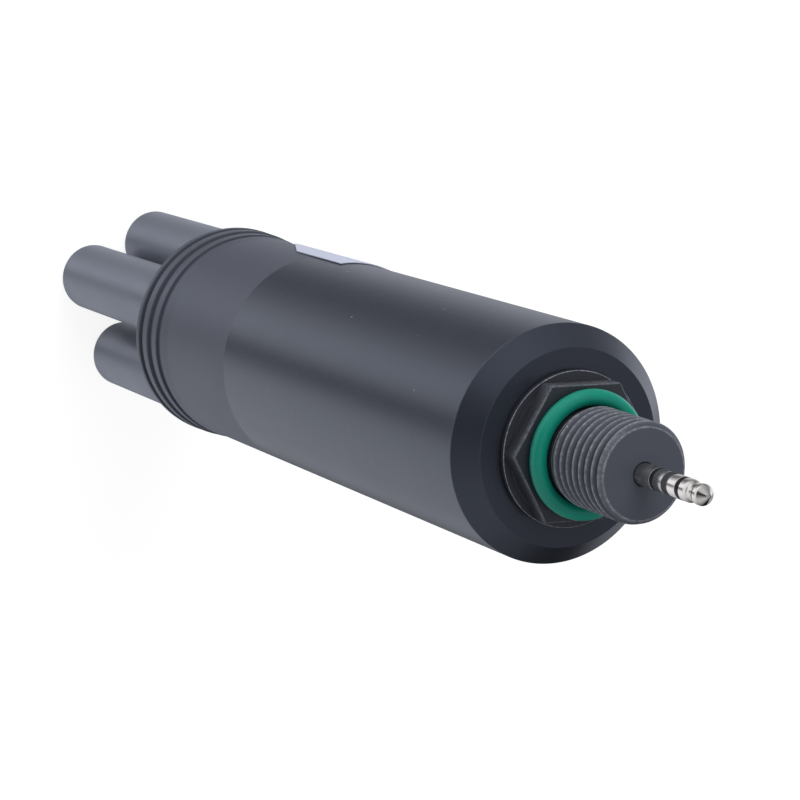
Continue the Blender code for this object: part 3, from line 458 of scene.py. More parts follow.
def finish(name, base, rough, metallic=0.0, mottle=0.12, mottle_scale=70.0, rough_spread=0.06,
           tool_marks=0.0, grain=0.15, edge=None, edge_amount=0.6, dust=0.0, scratches=0.0,
           spots=None, specular=0.5, tint=PLAIN, see_through=0.0, hollow_shade=0.8, hollow_shade_tone=0.35):
    """A procedural finish with mottled colour, fine grain, turning marks, worn edges, painted shade in
    the hollows and dust.
    """
    material = bpy.data.materials.new(name)
    material.use_nodes = True
    graph = Graph(material.node_tree)
    shader = material.node_tree.nodes["Principled BSDF"]
    shader.inputs["Metallic"].default_value = metallic
    shader.inputs["Specular IOR Level"].default_value = specular
    shader.inputs["Specular Tint"].default_value = colour(tint)
    if see_through:
        shader.inputs["Transmission Weight"].default_value = see_through
        shader.inputs["IOR"].default_value = GLASS_IOR

    place = graph.node("ShaderNodeTexCoord").outputs["Object"]
    broad = graph.noise(place, mottle_scale, 4.0, 0.55)
    light = colour(base, 1 + mottle)
    paint = graph.mix(graph.spread(broad, 0.3, 0.7), colour(base, 1 - mottle), light)
    roughness = graph.spread(broad, 0.3, 0.7, rough - rough_spread, rough + rough_spread)
    height = graph.math("MULTIPLY", graph.noise(place, GRAIN_SCALE, 2.0), grain)
    if tool_marks:
        lines = turning_lines(graph, place)
        height = graph.math("ADD", height, graph.math("MULTIPLY", lines, tool_marks))
        roughness = graph.math("ADD", roughness, graph.spread(lines, 0.3, 0.7, -0.03, 0.03))
        paint = graph.mix(graph.spread(lines, 0.35, 0.75, 0.0, 0.10), paint, light)
    if scratches:
        streaks = scratch_streaks(graph, place)
        bright = colour([min(1.0, value * 2.2 + 0.03) for value in base])
        paint = graph.mix(graph.math("MULTIPLY", streaks, scratches), paint, bright)
        roughness = graph.math("ADD", roughness, graph.math("MULTIPLY", streaks, 0.15))
    if spots:
        tone, amount, scale = spots
        patches = graph.spread(graph.noise(place, scale, 5.0, 0.65), 0.52, 0.68)
        paint = graph.mix(graph.math("MULTIPLY", patches, amount), paint, colour(tone))
    if edge:
        paint = wear_and_shade_paint(graph, place, paint, base, edge, edge_amount, hollow_shade, hollow_shade_tone)
    if dust:
        paint = dusty_paint(graph, place, paint, dust)

    graph.put(shader.inputs["Base Color"], paint)
    graph.put(shader.inputs["Roughness"], roughness)
    bump = graph.node("ShaderNodeBump", {"Height": height, "Distance": BUMP_DISTANCE, "Strength": 1.0})
    graph.put(shader.inputs["Normal"], bump.outputs[0])
    return material


BARREL = finish(
    "barrel_finish", (0.0255, 0.029, 0.040), 0.30, mottle=0.04, rough_spread=0.012, tool_marks=0.03,
    grain=0.07, edge=(0.14, 0.15, 0.18), edge_amount=0.75, dust=0.06, specular=0.65, tint=BLUISH)
HEAD = finish(
    "head_finish", (0.088, 0.095, 0.118), 0.46, mottle=0.04, rough_spread=0.02, tool_marks=0.06,
    grain=0.12, edge=(0.17, 0.18, 0.21), edge_amount=0.5, dust=0.02, tint=BLUISH)
# the connector's flange, stem and hexagon: the thread's plastic at 0.4 of its brightness, a painted
# shade
TAIL_SHADED = finish(
    "tail_shaded_finish", (0.036, 0.039, 0.050), 0.40, mottle=0.08, tool_marks=0.10, grain=0.12,
    edge=(0.50, 0.52, 0.57), edge_amount=0.9, dust=0.16)
# the thread's hollows take the full painted shade, dark towards the root of its groove
THREAD = finish(
    "thread_finish", (0.090, 0.098, 0.126), 0.42, mottle=0.06, tool_marks=0.10, grain=0.16,
    edge=(0.35, 0.36, 0.39), edge_amount=1.0, dust=0.14, hollow_shade=1.0, hollow_shade_tone=0.12)
ELECTRODE = finish(
    "electrode_finish", (0.190, 0.205, 0.250), 0.38, mottle=0.05, tool_marks=0.08, grain=0.15,
    edge=(0.34, 0.36, 0.40), edge_amount=0.5, dust=0.015, tint=BLUISH)
GREEN = finish(
    "green_rubber_finish", (0.006, 0.310, 0.215), 0.28, mottle=0.10, grain=0.2, rough_spread=0.04,
    dust=0.03, specular=0.34)
BLACK_RUBBER = finish("black_rubber_finish", (0.018, 0.018, 0.019), 0.55, grain=0.4)
BLACK_GLOSS = finish(
    "black_plastic_finish", (0.008, 0.008, 0.009), 0.40, grain=0.1, rough_spread=0.03, specular=0.3)
BLACK_CHIP = finish("chip_finish", (0.020, 0.020, 0.021), 0.5, grain=0.5)
CHROME = finish(
    "chrome_finish", (0.72, 0.675, 0.60), 0.035, metallic=1.0, mottle=0.02, rough_spread=0.01,
    grain=0.012, scratches=0.05)
DULL = finish(
    "dull_metal_finish", (0.300, 0.300, 0.298), 0.42, metallic=0.9, mottle=0.2, mottle_scale=500.0,
    rough_spread=0.08, grain=0.2, scratches=0.6, edge=(0.75, 0.75, 0.72), edge_amount=1.0)
WORN_RING = finish(
    "worn_ring_finish", (0.500, 0.490, 0.470), 0.18, metallic=0.9, mottle=0.15, mottle_scale=500.0,
    rough_spread=0.06, grain=0.2, scratches=0.4)
STEEL = finish(
    "steel_finish", (0.53, 0.53, 0.52), 0.25, metallic=1.0, mottle=0.05, tool_marks=0.2, grain=0.1,
    scratches=0.15)
SILVER = finish(
    "silver_finish", (0.75, 0.74, 0.71), 0.28, metallic=1.0, mottle=0.08,
    spots=((0.25, 0.22, 0.20), 0.6, 900.0))
GOLD = finish("gold_finish", (0.83, 0.60, 0.25), 0.22, metallic=1.0, mottle=0.05, tool_marks=0.2)
MEMBRANE = finish(
    "membrane_finish", (0.66, 0.60, 0.44), 0.42, mottle=0.08, mottle_scale=400.0, grain=0.4)
CERAMIC = finish(
    "ceramic_finish", (0.76, 0.75, 0.71), 0.75, mottle=0.06, mottle_scale=900.0, grain=1.2,
    spots=((0.55, 0.53, 0.49), 0.5, 2500.0))
GLASS = finish(
    "glass_finish", (0.92, 0.96, 0.95), 0.04, mottle=0.02, rough_spread=0.01, grain=0.02,
    see_through=0.9)
BOARD = finish(
    "circuit_board_finish", (0.020, 0.150, 0.055), 0.38, mottle=0.12,
    spots=((0.030, 0.240, 0.090), 0.7, 700.0))
CREAM = finish("cream_plastic_finish", (0.60, 0.56, 0.46), 0.5, mottle=0.05, grain=0.3)
STICKER = finish(
    "sticker_finish", (0.665, 0.705, 0.865), 0.5, mottle=0.03, mottle_scale=200.0, rough_spread=0.05,
    grain=0.35, edge=(0.80, 0.82, 0.88), edge_amount=0.5)
WIRE_COLOURS = ((0.45, 0.02, 0.02), (0.70, 0.70, 0.68), (0.60, 0.42, 0.03), (0.02, 0.02, 0.022))
WIRES = [
    finish("wire_finish_%d" % (i + 1), tone, 0.42, mottle=0.06, grain=0.3)
    for i, tone in enumerate(WIRE_COLOURS)
]


# Pieces

def middle_of(node):
    """The place of a node's own axis."""
    low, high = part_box(node)
    return Vector(((low.x + high.x) / 2, (low.y + high.y) / 2, 0.0))


def make_barrel():
    low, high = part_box("housing_tube")
    radius, seam, top = high.x, low.z, high.z
    depth, length = BARREL_CHAMFER
    inner_round, outer_round = BARREL_CHAMFER_ROUNDS
    profile = rounded([
        (radius - depth, top, inner_round, 0.15),
        (radius, top - length, outer_round, 0.5),
        (radius, seam, 0),
        (BARREL_BORE + BORE_CHAMFER, seam, EDGE_BREAK),
        (BARREL_BORE, seam + BORE_CHAMFER, EDGE_BREAK),
        (BARREL_BORE, top - END_WALL, SOFT),
        (STEM_HOLE, top - END_WALL, EDGE_BREAK),
        (STEM_HOLE, top, SMALL),
    ], loop=True)
    barrel = turned("barrel", profile, BARREL_POINTS, BARREL, loop=True)
    dress(barrel, "barrel_plastic", "housing_tube")


def head_corners():
    """Down the recess, over the spigot with its seal grooves and along the collar's ridges."""
    low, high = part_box("sensor_head")
    face, top, collar = low.z, high.z, high.x
    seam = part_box("housing_tube")[0].z
    band = collar - COLLAR_RISE
    band_top = seam - SEAM_GAP
    spigot = BARREL_BORE - SPIGOT_GAP
    corners = [
        (0.0, RECESS_FLOOR, 0),
        (RECESS_RADIUS, RECESS_FLOOR, SOFT),
        (RECESS_RADIUS, top, EDGE_BREAK),
        (spigot - SPIGOT_CHAMFER, top, EDGE_BREAK),
        (spigot, top - SPIGOT_CHAMFER, EDGE_BREAK),
    ]
    floor, width = HEAD_SEAL_GROOVE
    for height in reversed(HEAD_SEALS):
        corners += groove_corners(spigot, floor, seam + height, width, SEAL_GROOVE_ROUND)
    corners += [
        (spigot, band_top, EDGE_BREAK),
        (band, band_top, 0),
        (band, face + COLLAR_LENGTH, COLLAR_SLOPE_ROUND, 0),
    ]
    for i in reversed(range(len(GROOVE_MIDDLES))):
        upper, lower = band + RIDGE_RISES[i + 1], band + RIDGE_RISES[i]
        corners += groove_corners(upper, band + GROOVE_FLOORS[i], face + GROOVE_MIDDLES[i],
                                  GROOVE_WIDTH, RIDGE_ROUND, lower)
    return corners + [(collar, face, COLLAR_FACE_ROUND), (0.0, face, 0)]


def make_head():
    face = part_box("sensor_head")[0].z
    head = turned("head", rounded(head_corners(), 5), HEAD_POINTS, HEAD)
    tools = []
    for kind in ELECTRODES:
        port = cutter("port", PORT_RADIUS, face, RECESS_FLOOR, ELECTRODE_POINTS, HEAD)
        port.location = middle_of(kind + "_electrode")
        tools.append(port)
    tools.append(cutter("probe_hole", PROBE_HOLE, face, RECESS_FLOOR, SMALL_POINTS, HEAD))
    for tool in tools:
        cut(head, tool)
    apply_changes(head, tools)
    dress(head, "head_plastic", "sensor_head")


def make_electrode(kind):
    node = kind + "_electrode"
    low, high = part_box(node)
    radius = (high.x - low.x) / 2
    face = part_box("sensor_head")[0].z
    shoulder = face - SEAT_GAP
    roof = face - CHAMBER_ROOF
    groove_radius, groove_width = STEM_SEAL_GROOVE
    mouth_radius, mouth_depth = MOUTH
    mouth_top = low.z + mouth_depth
    profile = rounded([
        (STEM_RADIUS, high.z, MILD),
        *groove_corners(STEM_RADIUS, groove_radius, face + STEM_SEAL, groove_width, SLIGHT),
        (STEM_RADIUS, shoulder, SMALL),
        (radius, shoulder, MILD),
        (radius, low.z, TIP_ROUND),
        (mouth_radius, low.z, MOUTH_ROUND),
        (mouth_radius, mouth_top, EDGE_BREAK),
        (CHAMBER_RADIUS, mouth_top, EDGE_BREAK),
        (CHAMBER_RADIUS, roof, SOFT),
        (LEAD_HOLE, roof, FINE),
        (LEAD_HOLE, high.z, FINE),
    ], 6, loop=True)
    body = turned(kind + "_body", profile, ELECTRODE_POINTS, ELECTRODE, loop=True)
    body.location = middle_of(node)
    dress(body, "electrode_plastic", node)


def make_disc(node, material, slot):
    """A membrane or junction, dished a little."""
    low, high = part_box(node)
    radius = (high.x - low.x) / 2
    dish = low.z + DISH_DEPTH
    profile = rounded([
        (0.0, high.z, 0),
        (radius, high.z, SMALL),
        (radius, low.z, MILD),
        (radius * DISH_SHARE, dish, DISH_ROUND),
        (0.0, dish, 0),
    ])
    disc = turned(node + "_disc", profile, SMALL_POINTS, material)
    disc.location = middle_of(node)
    dress(disc, slot, node)


def make_bulb():
    low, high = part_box("ph_glass_bulb")
    outer = (high.x - low.x) / 2
    inner = outer - GLASS_WALL
    centre = low.z + outer
    profile = [(outer, high.z, 0.0), *arc(centre, outer, 0, -90)]
    profile += [*arc(centre, inner, -90, 0), (inner, high.z, 0.0)]
    bulb = turned("ph_bulb", profile, SMALL_POINTS, GLASS, loop=True)
    bulb.location = middle_of("ph_glass_bulb")
    dress(bulb, "glass", "ph_glass_bulb")


def make_probe():
    low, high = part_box("temperature_probe")
    radius, inner, floor = high.x, high.x - PROBE_WALL, low.z + PROBE_WALL
    profile = rounded([
        (0.0, floor, 0),
        (inner, floor, SOFT),
        (inner, high.z, EDGE_BREAK),
        (radius, high.z, EDGE_BREAK),
        (radius, low.z, PROBE_TIP_ROUND),
        (0.0, low.z, 0),
    ], 6)
    dress(turned("probe_tube", profile, SMALL_POINTS, STEEL), "steel", "temperature_probe")


# Tail connector

def thread_period():
    """One pitch of the thread from crest to crest, as (radius, height, wear and painted shade) points.

    The first corner only gives the crest's round its direction, and is left out.
    """
    flank = THREAD_DEPTH * math.tan(THREAD_FLANK)
    half = THREAD_CREST / 2
    root = THREAD_RADIUS - THREAD_DEPTH
    rise = [(THREAD_RADIUS - share * THREAD_DEPTH, half + share * flank, 0) for share in FLANK_SHARES]
    fall = [(r, THREAD_PITCH - offset, 0) for r, offset, _ in reversed(rise)]
    return rounded([
        (THREAD_RADIUS, half + 0.001 * MM, 0),
        (THREAD_RADIUS, half, THREAD_CREST_ROUND),
        *rise,
        (root, half + flank, THREAD_ROOT_ROUND),
        (root, THREAD_PITCH - half - flank, THREAD_ROOT_ROUND),
        *fall,
        (THREAD_RADIUS, THREAD_PITCH - half, THREAD_CREST_ROUND),
        (THREAD_RADIUS, THREAD_PITCH, 0),
    ], 3)[1:]


def helix_faces(rows, step):
    """Faces of a helix: the last column of one turn meets the first column of the next."""
    faces = []
    for row in range(rows - 1):
        first = row * TAIL_POINTS
        for corner in range(first, first + TAIL_POINTS - 1):
            above = corner + TAIL_POINTS
            faces.append((corner, corner + 1, above + 1, above))
        if row + step + 1 < rows:
            last = first + TAIL_POINTS - 1
            joined = (row + step) * TAIL_POINTS
            faces.append((last, joined, joined + TAIL_POINTS, last + TAIL_POINTS))
    return faces


def thread_body(low, high):
    """A helical thread with open ends closed by fans; its ends are cut off afterwards."""
    period = thread_period()
    step = len(period)
    turns = math.ceil((high - low + 2 * THREAD_OVERRUN) / THREAD_PITCH) + 2
    rows = turns * step
    start = THREAD_CREST_AT - 0.5 * THREAD_PITCH
    start -= THREAD_PITCH * math.ceil((start - low + THREAD_OVERRUN) / THREAD_PITCH)
    run_out = THREAD_RIM + 0.1 * MM    # the groove ends on the end's chamfer
    verts = []
    for row in range(rows):
        turn, place = divmod(row, step)
        depth, offset, _ = period[place]
        for i in range(TAIL_POINTS):
            angle = 2 * math.pi * i / TAIL_POINTS
            z = start + THREAD_PITCH * (turn + i / TAIL_POINTS) + offset
            r = max(depth, run_out - max(0.0, high - THREAD_CHAMFER_LENGTH - z))
            verts.append((r * math.cos(angle), r * math.sin(angle), z))
    faces = helix_faces(rows, step)
    last = (rows - 1) * TAIL_POINTS
    bottom = list(range(TAIL_POINTS)) + [row * TAIL_POINTS for row in range(step, 0, -1)]
    top = [last + i for i in range(TAIL_POINTS)]
    top += [row * TAIL_POINTS + TAIL_POINTS - 1 for row in range(rows - 2, rows - 2 - step, -1)]
    peak = start + THREAD_PITCH * (turns + 2)
    for edge, height, flip in ((bottom, start - CUTTER_OVERRUN, True), (top, peak, False)):
        centre = len(verts)
        verts.append((0.0, 0.0, height))
        for one, other in zip(edge, edge[1:] + edge[:1]):
            faces.append((other, one, centre) if flip else (one, other, centre))
    mesh = bpy.data.meshes.new("thread_body")
    mesh.from_pydata(verts, [], faces)
    finish_mesh(mesh, [0.0] * len(verts))
    body = bmesh.new()
    body.from_mesh(mesh)
    bmesh.ops.recalc_face_normals(body, faces=body.faces)
    body.to_mesh(mesh)
    body.free()
    return new_object("thread_body", mesh, THREAD)


# Wear of the thread by radius on its end face; by depth in its groove, wear on the crests and painted
# shade towards the root
END_WEAR = (
    (THREAD_RIM - 0.12 * MM, 0.0), (THREAD_RIM - 0.04 * MM, 0.9), (THREAD_RIM + 0.04 * MM, 0.9),
    (THREAD_RIM + 0.15 * MM, 0.15), (THREAD_RADIUS - 0.15 * MM, 0.1), (THREAD_RADIUS, 0.8))
# over the groove's depth: wear on the crest, painted shade towards the root
GROOVE_WEAR_AND_SHADE = ((0.03, 1.0), (FLANK_SHARES[0], 0.1), (FLANK_SHARES[1], -0.35), (1.0, -1.0))
END_FACE_REACH = 0.03 * MM    # closer to the end's surface than this is part of it


def wear_and_shade_thread(thread, end):
    """Light crests and rims from wear; grooves painted darker towards the root, a painted shade."""
    wear_and_shade = []
    for vertex in thread.data.vertices:
        x, y, z = vertex.co
        r = math.hypot(x, y)
        if z > end - THREAD_END_SLOPE * max(0.0, r - THREAD_RIM) - END_FACE_REACH:
            wear_and_shade.append(between(r, END_WEAR))
        else:
            wear_and_shade.append(between((THREAD_RADIUS - r) / THREAD_DEPTH, GROOVE_WEAR_AND_SHADE))
    finish_mesh(thread.data, wear_and_shade)


def jack_bore(bottom, end):
    """The tool that bores the connector: wide from below, narrow through its end wall."""
    high, low = end + CUTTER_OVERRUN, bottom - CUTTER_OVERRUN
    wall = end - TAIL_WALL
    profile = [(0.0, high, 0), (JACK_HOLE, high, 0), (JACK_HOLE, wall, 0), (TAIL_BORE, wall, 0),
               (TAIL_BORE, low, 0), (0.0, low, 0)]
    return turned("bore", profile, SMALL_POINTS, TAIL_SHADED)


def make_tail_body(bottom, flange, hex_bottom, thread_bottom, bore):
    """Neck, flange with the groove for its seal, and stem."""
    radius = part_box("tail_connector")[1].x
    inner, outer, depth = FLANGE_SEAL_GROOVE
    profile = rounded([
        (0.0, thread_bottom, 0),
        (NECK_RADIUS, thread_bottom, EDGE_BREAK),
        (NECK_RADIUS, hex_bottom, 0),
        (radius, hex_bottom, FLANGE_ROUND),
        (radius, flange, FLANGE_ROUND, 0),
        (outer, flange, FINE),
        (outer, flange + depth, EDGE_BREAK),
        (inner, flange + depth, EDGE_BREAK),
        (inner, flange, FINE),
        (TAIL_STEM, flange, EDGE_BREAK),
        (TAIL_STEM, bottom, SOFT),
        (0.0, bottom, 0),
    ])
    body = turned("tail_body", profile, TAIL_POINTS, TAIL_SHADED)
    cut(body, bore)
    apply_changes(body)
    dress(body, "tail_plastic", "tail_connector")


def make_thread(bottom, end, bore):
    """The thread's outline, which the helix and the bore then cut."""
    over, sunk = 0.1 * MM, 0.05 * MM
    mid_chamfer, foot = 0.35 * MM, 0.4 * MM
    profile = rounded([
        (0.0, end, 0),
        (JACK_HOLE + 0.2 * MM, end, 0),
        (THREAD_RIM - 0.2 * MM, end, 0),
        (THREAD_RIM, end, EDGE_BREAK),
        (THREAD_RIM + mid_chamfer, end - mid_chamfer * THREAD_END_SLOPE, 0),
        (THREAD_RADIUS + over, end - (THREAD_CHAMFER_WIDTH + over) * THREAD_END_SLOPE, 0),
        (THREAD_RADIUS + over, bottom + THREAD_CHAMFER_LENGTH * 1.2, 0),
        (NECK_RADIUS - sunk, bottom - sunk, 0),
        (NECK_RADIUS - sunk, bottom - foot, 0),
        (0.0, bottom - foot, 0),
    ])
    thread = turned("tail_thread", profile, TAIL_POINTS, THREAD)
    helix = thread_body(bottom, end)
    cut(thread, helix, "INTERSECT")
    cut(thread, bore)
    apply_changes(thread, [helix, bore])
    wear_and_shade_thread(thread, end)
    dress(thread, "tail_plastic", "tail_connector")


def make_hexagon(bottom, top):
    corner = HEX_FLATS / math.sqrt(3)
    mesh = bpy.data.meshes.new("tail_hexagon")
    body = bmesh.new()
    bmesh.ops.create_cone(
        body, cap_ends=True, segments=6, radius1=corner, radius2=corner, depth=top - bottom)
    bmesh.ops.rotate(body, verts=body.verts, matrix=Matrix.Rotation(HEX_TURN, 3, "Z"))
    bmesh.ops.translate(body, verts=body.verts, vec=(0, 0, (top + bottom) / 2))
    body.to_mesh(mesh)
    body.free()
    hexagon = new_object("tail_hexagon", mesh, TAIL_SHADED)
    hole = cutter("hex_hole", NECK_RADIUS - HEX_HOLE_INSET, bottom, top, TAIL_POINTS, TAIL_SHADED)
    cut(hexagon, hole)
    apply_changes(hexagon, [hole])
    bevel_edges(hexagon, HEX_ROUND, 4, 40)
    apply_changes(hexagon)
    wear_and_shade_hexagon(hexagon, top)
    dress(hexagon, "tail_plastic", "tail_connector")


def wear_and_shade_hexagon(hexagon, top):
    """Light upper edges from wear; below them the side faces on the +Y side are painted lighter and
    the others darker, a painted light and shade.
    """
    wear_and_shade = []
    for vertex in hexagon.data.vertices:
        x, y, z = vertex.co
        angle = (math.atan2(y, x) - HEX_TURN) % (math.pi / 3) - math.pi / 6
        inset = HEX_FLATS / 2 - math.hypot(x, y) * math.cos(angle)
        if inset > HEX_WEAR_REACH or z > top - NEAR:
            wear_and_shade.append(0.0)
        elif z > top - HEX_WEAR_REACH:
            wear_and_shade.append(1.0 if inset > NEAR else 0.3)
        else:
            # painted light on the +Y side faces, painted shade on the other side faces
            wear_and_shade.append(0.05 if y > 0 else -0.5)
    finish_mesh(hexagon.data, wear_and_shade)


def make_tail():
    low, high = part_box("tail_connector")
    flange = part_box("housing_tube")[1].z + SEAT_GAP
    hex_bottom = flange + FLANGE_THICKNESS
    hex_top = hex_bottom + HEX_HEIGHT
    thread_bottom = hex_top + NECK_LENGTH
    bore = jack_bore(low.z, high.z)
    make_tail_body(low.z, flange, hex_bottom, thread_bottom, bore)
    make_thread(thread_bottom, high.z, bore)
    make_hexagon(hex_bottom - HEX_SINK, hex_top)


def make_green_ring():
    low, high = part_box("green_o_ring")
    tube = (high.z - low.z) / 2
    radius, height = high.x - tube, low.z + tube
    profile = []
    for k in range(RING_TUBE_POINTS):
        angle = -2 * math.pi * k / RING_TUBE_POINTS
        profile.append((radius + tube * math.cos(angle), height + tube * math.sin(angle), 0.0))
    ring = turned("green_ring", profile, RING_POINTS, GREEN, loop=True)
    dress(ring, "green_rubber", "green_o_ring")


# Jack plug

def make_plug_tip(radius):
    low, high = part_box("jack_tip")
    base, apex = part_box("jack_insulator_1")[1].z + JOINT_GAP, high.z
    flat_radius, flat_drop = APEX_FLAT
    outline = [(r * MM, base + height * MM, TIP_WAIST_ROUND) for r, height in reversed(TIP_OUTLINE)]
    profile = rounded([
        (0.0, apex, 0),
        (flat_radius, apex - flat_drop, SOFT),
        *outline,
        (radius, base, TIP_SHOULDER_ROUND),
        (ROD_RADIUS, base, THIN),
        (ROD_RADIUS, low.z, EDGE_BREAK),
        (0.0, low.z, 0),
    ], 8)
    dress(turned("plug_tip", profile, JACK_POINTS, CHROME), "chromed_brass", "jack_tip")


def make_plug_ring(name, radius, bore, collar_bottom, material, slot):
    """A collar at the top, a thin tube below it and a terminal disc at the foot."""
    node = "jack_" + name
    low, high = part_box(node)
    outer = bore + CONTACT_WALL
    terminal = low.z + CONTACT_TERMINAL
    terminal_radius = max(high.x, outer)
    profile = rounded([
        (bore, high.z, THIN),
        (radius, high.z, CRISP),
        (radius, collar_bottom, CRISP),
        (outer, collar_bottom, THIN),
        (outer, terminal, THIN),
        (terminal_radius, terminal, FINE),
        (terminal_radius, low.z, FINE),
        (bore, low.z, THIN),
    ], 3, loop=True)
    dress(turned("plug_" + name, profile, JACK_POINTS, material, loop=True), slot, node)


def make_plug_sleeve(radius, bore):
    low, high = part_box("jack_sleeve")
    flange_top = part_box("tail_connector")[1].z - TAIL_WALL - SEAT_GAP
    profile = rounded([
        (bore, high.z, THIN),
        (radius, high.z, CRISP),
        (radius, flange_top, EDGE_BREAK),
        (high.x, flange_top, SMALL),
        (high.x, low.z, SMALL),
        (bore, low.z, THIN),
    ], 3, loop=True)
    dress(turned("plug_sleeve", profile, JACK_POINTS, DULL, loop=True), "dull_metal", "jack_sleeve")


def make_plug_insulator(number, radius, bore):
    node = "jack_insulator_%d" % number
    low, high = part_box(node)
    top = high.z - RING_1_LOWER if number == 2 else high.z
    profile = rounded([
        (bore, top, HAIR),
        (radius, top, SLIGHT),
        (radius, low.z, SLIGHT),
        (bore, low.z, HAIR),
    ], 3, loop=True)
    name = "plug_insulator_%d" % number
    dress(turned(name, profile, JACK_POINTS, BLACK_GLOSS, loop=True), "black_plastic", node)


def make_jack():
    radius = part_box("jack_tip")[1].x
    ring_1_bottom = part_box("jack_insulator_2")[1].z + JOINT_GAP - RING_1_LOWER
    ring_2_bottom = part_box("jack_insulator_3")[1].z + JOINT_GAP
    ring_1_bore, ring_2_bore, sleeve_bore = JACK_BORES
    make_plug_tip(radius)
    make_plug_ring("ring_1", radius, ring_1_bore, ring_1_bottom, CHROME, "chromed_brass")
    make_plug_ring("ring_2", radius, ring_2_bore, ring_2_bottom, WORN_RING, "dull_metal")
    make_plug_sleeve(radius, sleeve_bore)
    for i, bore in enumerate(JACK_BORES):
        make_plug_insulator(i + 1, radius, bore)


# Sticker and hidden pieces

def make_sticker():
    """A thin sheet bent round the barrel, tapered towards the electrodes."""
    low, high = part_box("sticker")
    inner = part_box("housing_tube")[1].x + STICKER_GAP
    half_width = STICKER_HALF_WIDTH
    middle, half_length = (low.z + high.z) / 2, (high.z - low.z) / 2
    taper_width, taper_length = STICKER_TAPER
    end, side_end = half_width - taper_width, taper_length - half_length
    outline = [(half_width, half_length), (-half_width, half_length), (-half_width, side_end),
               (-end, -half_length), (end, -half_length), (half_width, side_end)]
    sheet = bmesh.new()
    rim = [sheet.verts.new((x, 0.0, z)) for x, z in outline]
    sheet.faces.new(rim)
    for k in range(1, int(2 * half_width / STICKER_STEP)):
        plane = (-half_width + k * STICKER_STEP, 0, 0)
        everything = sheet.verts[:] + sheet.edges[:] + sheet.faces[:]
        bmesh.ops.bisect_plane(sheet, geom=everything, plane_co=plane, plane_no=(1, 0, 0))
    for vertex in sheet.verts:
        angle = math.pi / 2 - vertex.co.x / inner
        vertex.co = (inner * math.cos(angle), inner * math.sin(angle), middle + vertex.co.z)
    sheet.normal_update()
    if sum(face.normal.y for face in sheet.faces) < 0:
        bmesh.ops.reverse_faces(sheet, faces=sheet.faces)
    mesh = bpy.data.meshes.new("label_sheet")
    sheet.to_mesh(mesh)
    sheet.free()
    label = new_object("label_sheet", mesh, STICKER)
    thick = label.modifiers.new("Thickness", "SOLIDIFY")
    thick.thickness = STICKER_THICKNESS
    thick.offset = 1.0
    bevel_edges(label, STICKER_ROUND, 2, 50)
    apply_changes(label)
    finish_mesh(label.data, [0.0] * len(label.data.vertices))
    dress(label, "sticker_paper", "sticker")


HIDDEN_FINISHES = (    # by what a node's name holds; the last one that fits counts
    ("_o_ring", BLACK_RUBBER), ("_seal", BLACK_RUBBER), ("_inner_electrode", SILVER),
    ("_socket", GOLD), ("_board", BOARD), ("_holder", BLACK_CHIP), ("processor", BLACK_CHIP),
    ("amplifier", BLACK_CHIP), ("power_module", BLACK_CHIP), ("thermistor", BLACK_CHIP),
    ("_header", CREAM), ("ribbon_cable", CREAM), ("tail_nut", STEEL),
    *[("jack_wire_%d" % (i + 1), wire) for i, wire in enumerate(WIRES)])


def dress_hidden_nodes():
    """The CAD nodes that stay as they are get detailed finishes in their own slots."""
    for name, node in NODES.items():
        for part, material in HIDDEN_FINISHES:
            if part in name:
                for slot in node.material_slots:
                    slot.material = material


make_barrel()
make_head()
for electrode_kind in ELECTRODES:
    make_electrode(electrode_kind)
make_disc("ammonium_membrane", MEMBRANE, "membrane")
make_disc("potassium_membrane", MEMBRANE, "membrane")
make_disc("reference_junction", CERAMIC, "ceramic")
make_bulb()
make_probe()
make_tail()
make_green_ring()
make_jack()
make_sticker()
dress_hidden_nodes()


# Studio

CAMERA_PLACE = (-0.24336, 0.00513, 0.53442)
CAMERA_UP = (-0.263441, 0.949932, -0.168012)
CAMERA_BACK = (-0.500879, 0.014154, 0.865399)
CAMERA_LENS = 128.69
SENSOR_WIDTH = 36.0


def make_camera():
    data = bpy.data.cameras.new("photo_camera")
    data.lens = CAMERA_LENS
    data.sensor_width = SENSOR_WIDTH
    data.clip_start = 0.01
    data.clip_end = 20.0
    camera = bpy.data.objects.new("photo_camera", data)
    bpy.context.scene.collection.objects.link(camera)
    up, back = Vector(CAMERA_UP), Vector(CAMERA_BACK)
    turn = Matrix((up.cross(back), up, back)).transposed()
    camera.matrix_world = Matrix.Translation(CAMERA_PLACE) @ turn.to_4x4()
    bpy.context.scene.camera = camera


# Brightness of the studio by direction, in degrees round the axis: below, level and above
LOW_STUDIO = (
    (0, 0.38), (17, 0.42), (29, 0.58), (41, 0.56), (53, 0.54), (65, 0.44), (77, 0.32), (89, 0.20),
    (101, 0.17), (113, 0.22), (125, 0.38), (137, 0.60), (149, 0.88), (161, 1.02), (173, 0.98),
    (180, 0.84), (188, 0.30), (194, 0.20), (200, 0.26), (210, 0.66), (221, 0.92), (238, 0.90),
    (257, 0.82), (269, 0.76), (281, 0.62), (293, 0.57), (305, 0.55), (317, 0.44), (329, 0.12),
    (345, 0.20), (360, 0.38))
LEVEL_STUDIO = (
    (0, 0.30), (8, 0.42), (18, 0.98), (33, 0.92), (50, 0.42), (70, 0.20), (100, 0.50), (130, 0.90),
    (150, 0.95), (180, 0.85), (210, 0.85), (240, 0.70), (289, 0.26), (310, 0.0), (327, 0.0),
    (341, 0.38), (350, 0.42), (360, 0.30))
HIGH_STUDIO = (
    (0, 0.15), (50, 0.24), (90, 0.42), (120, 0.60), (150, 0.58), (172, 0.06), (190, 0.04),
    (212, 0.24), (240, 0.52), (268, 0.54), (290, 0.34), (320, 0.10), (360, 0.15))
ZENITH = (0.38, 0.38, 0.38)

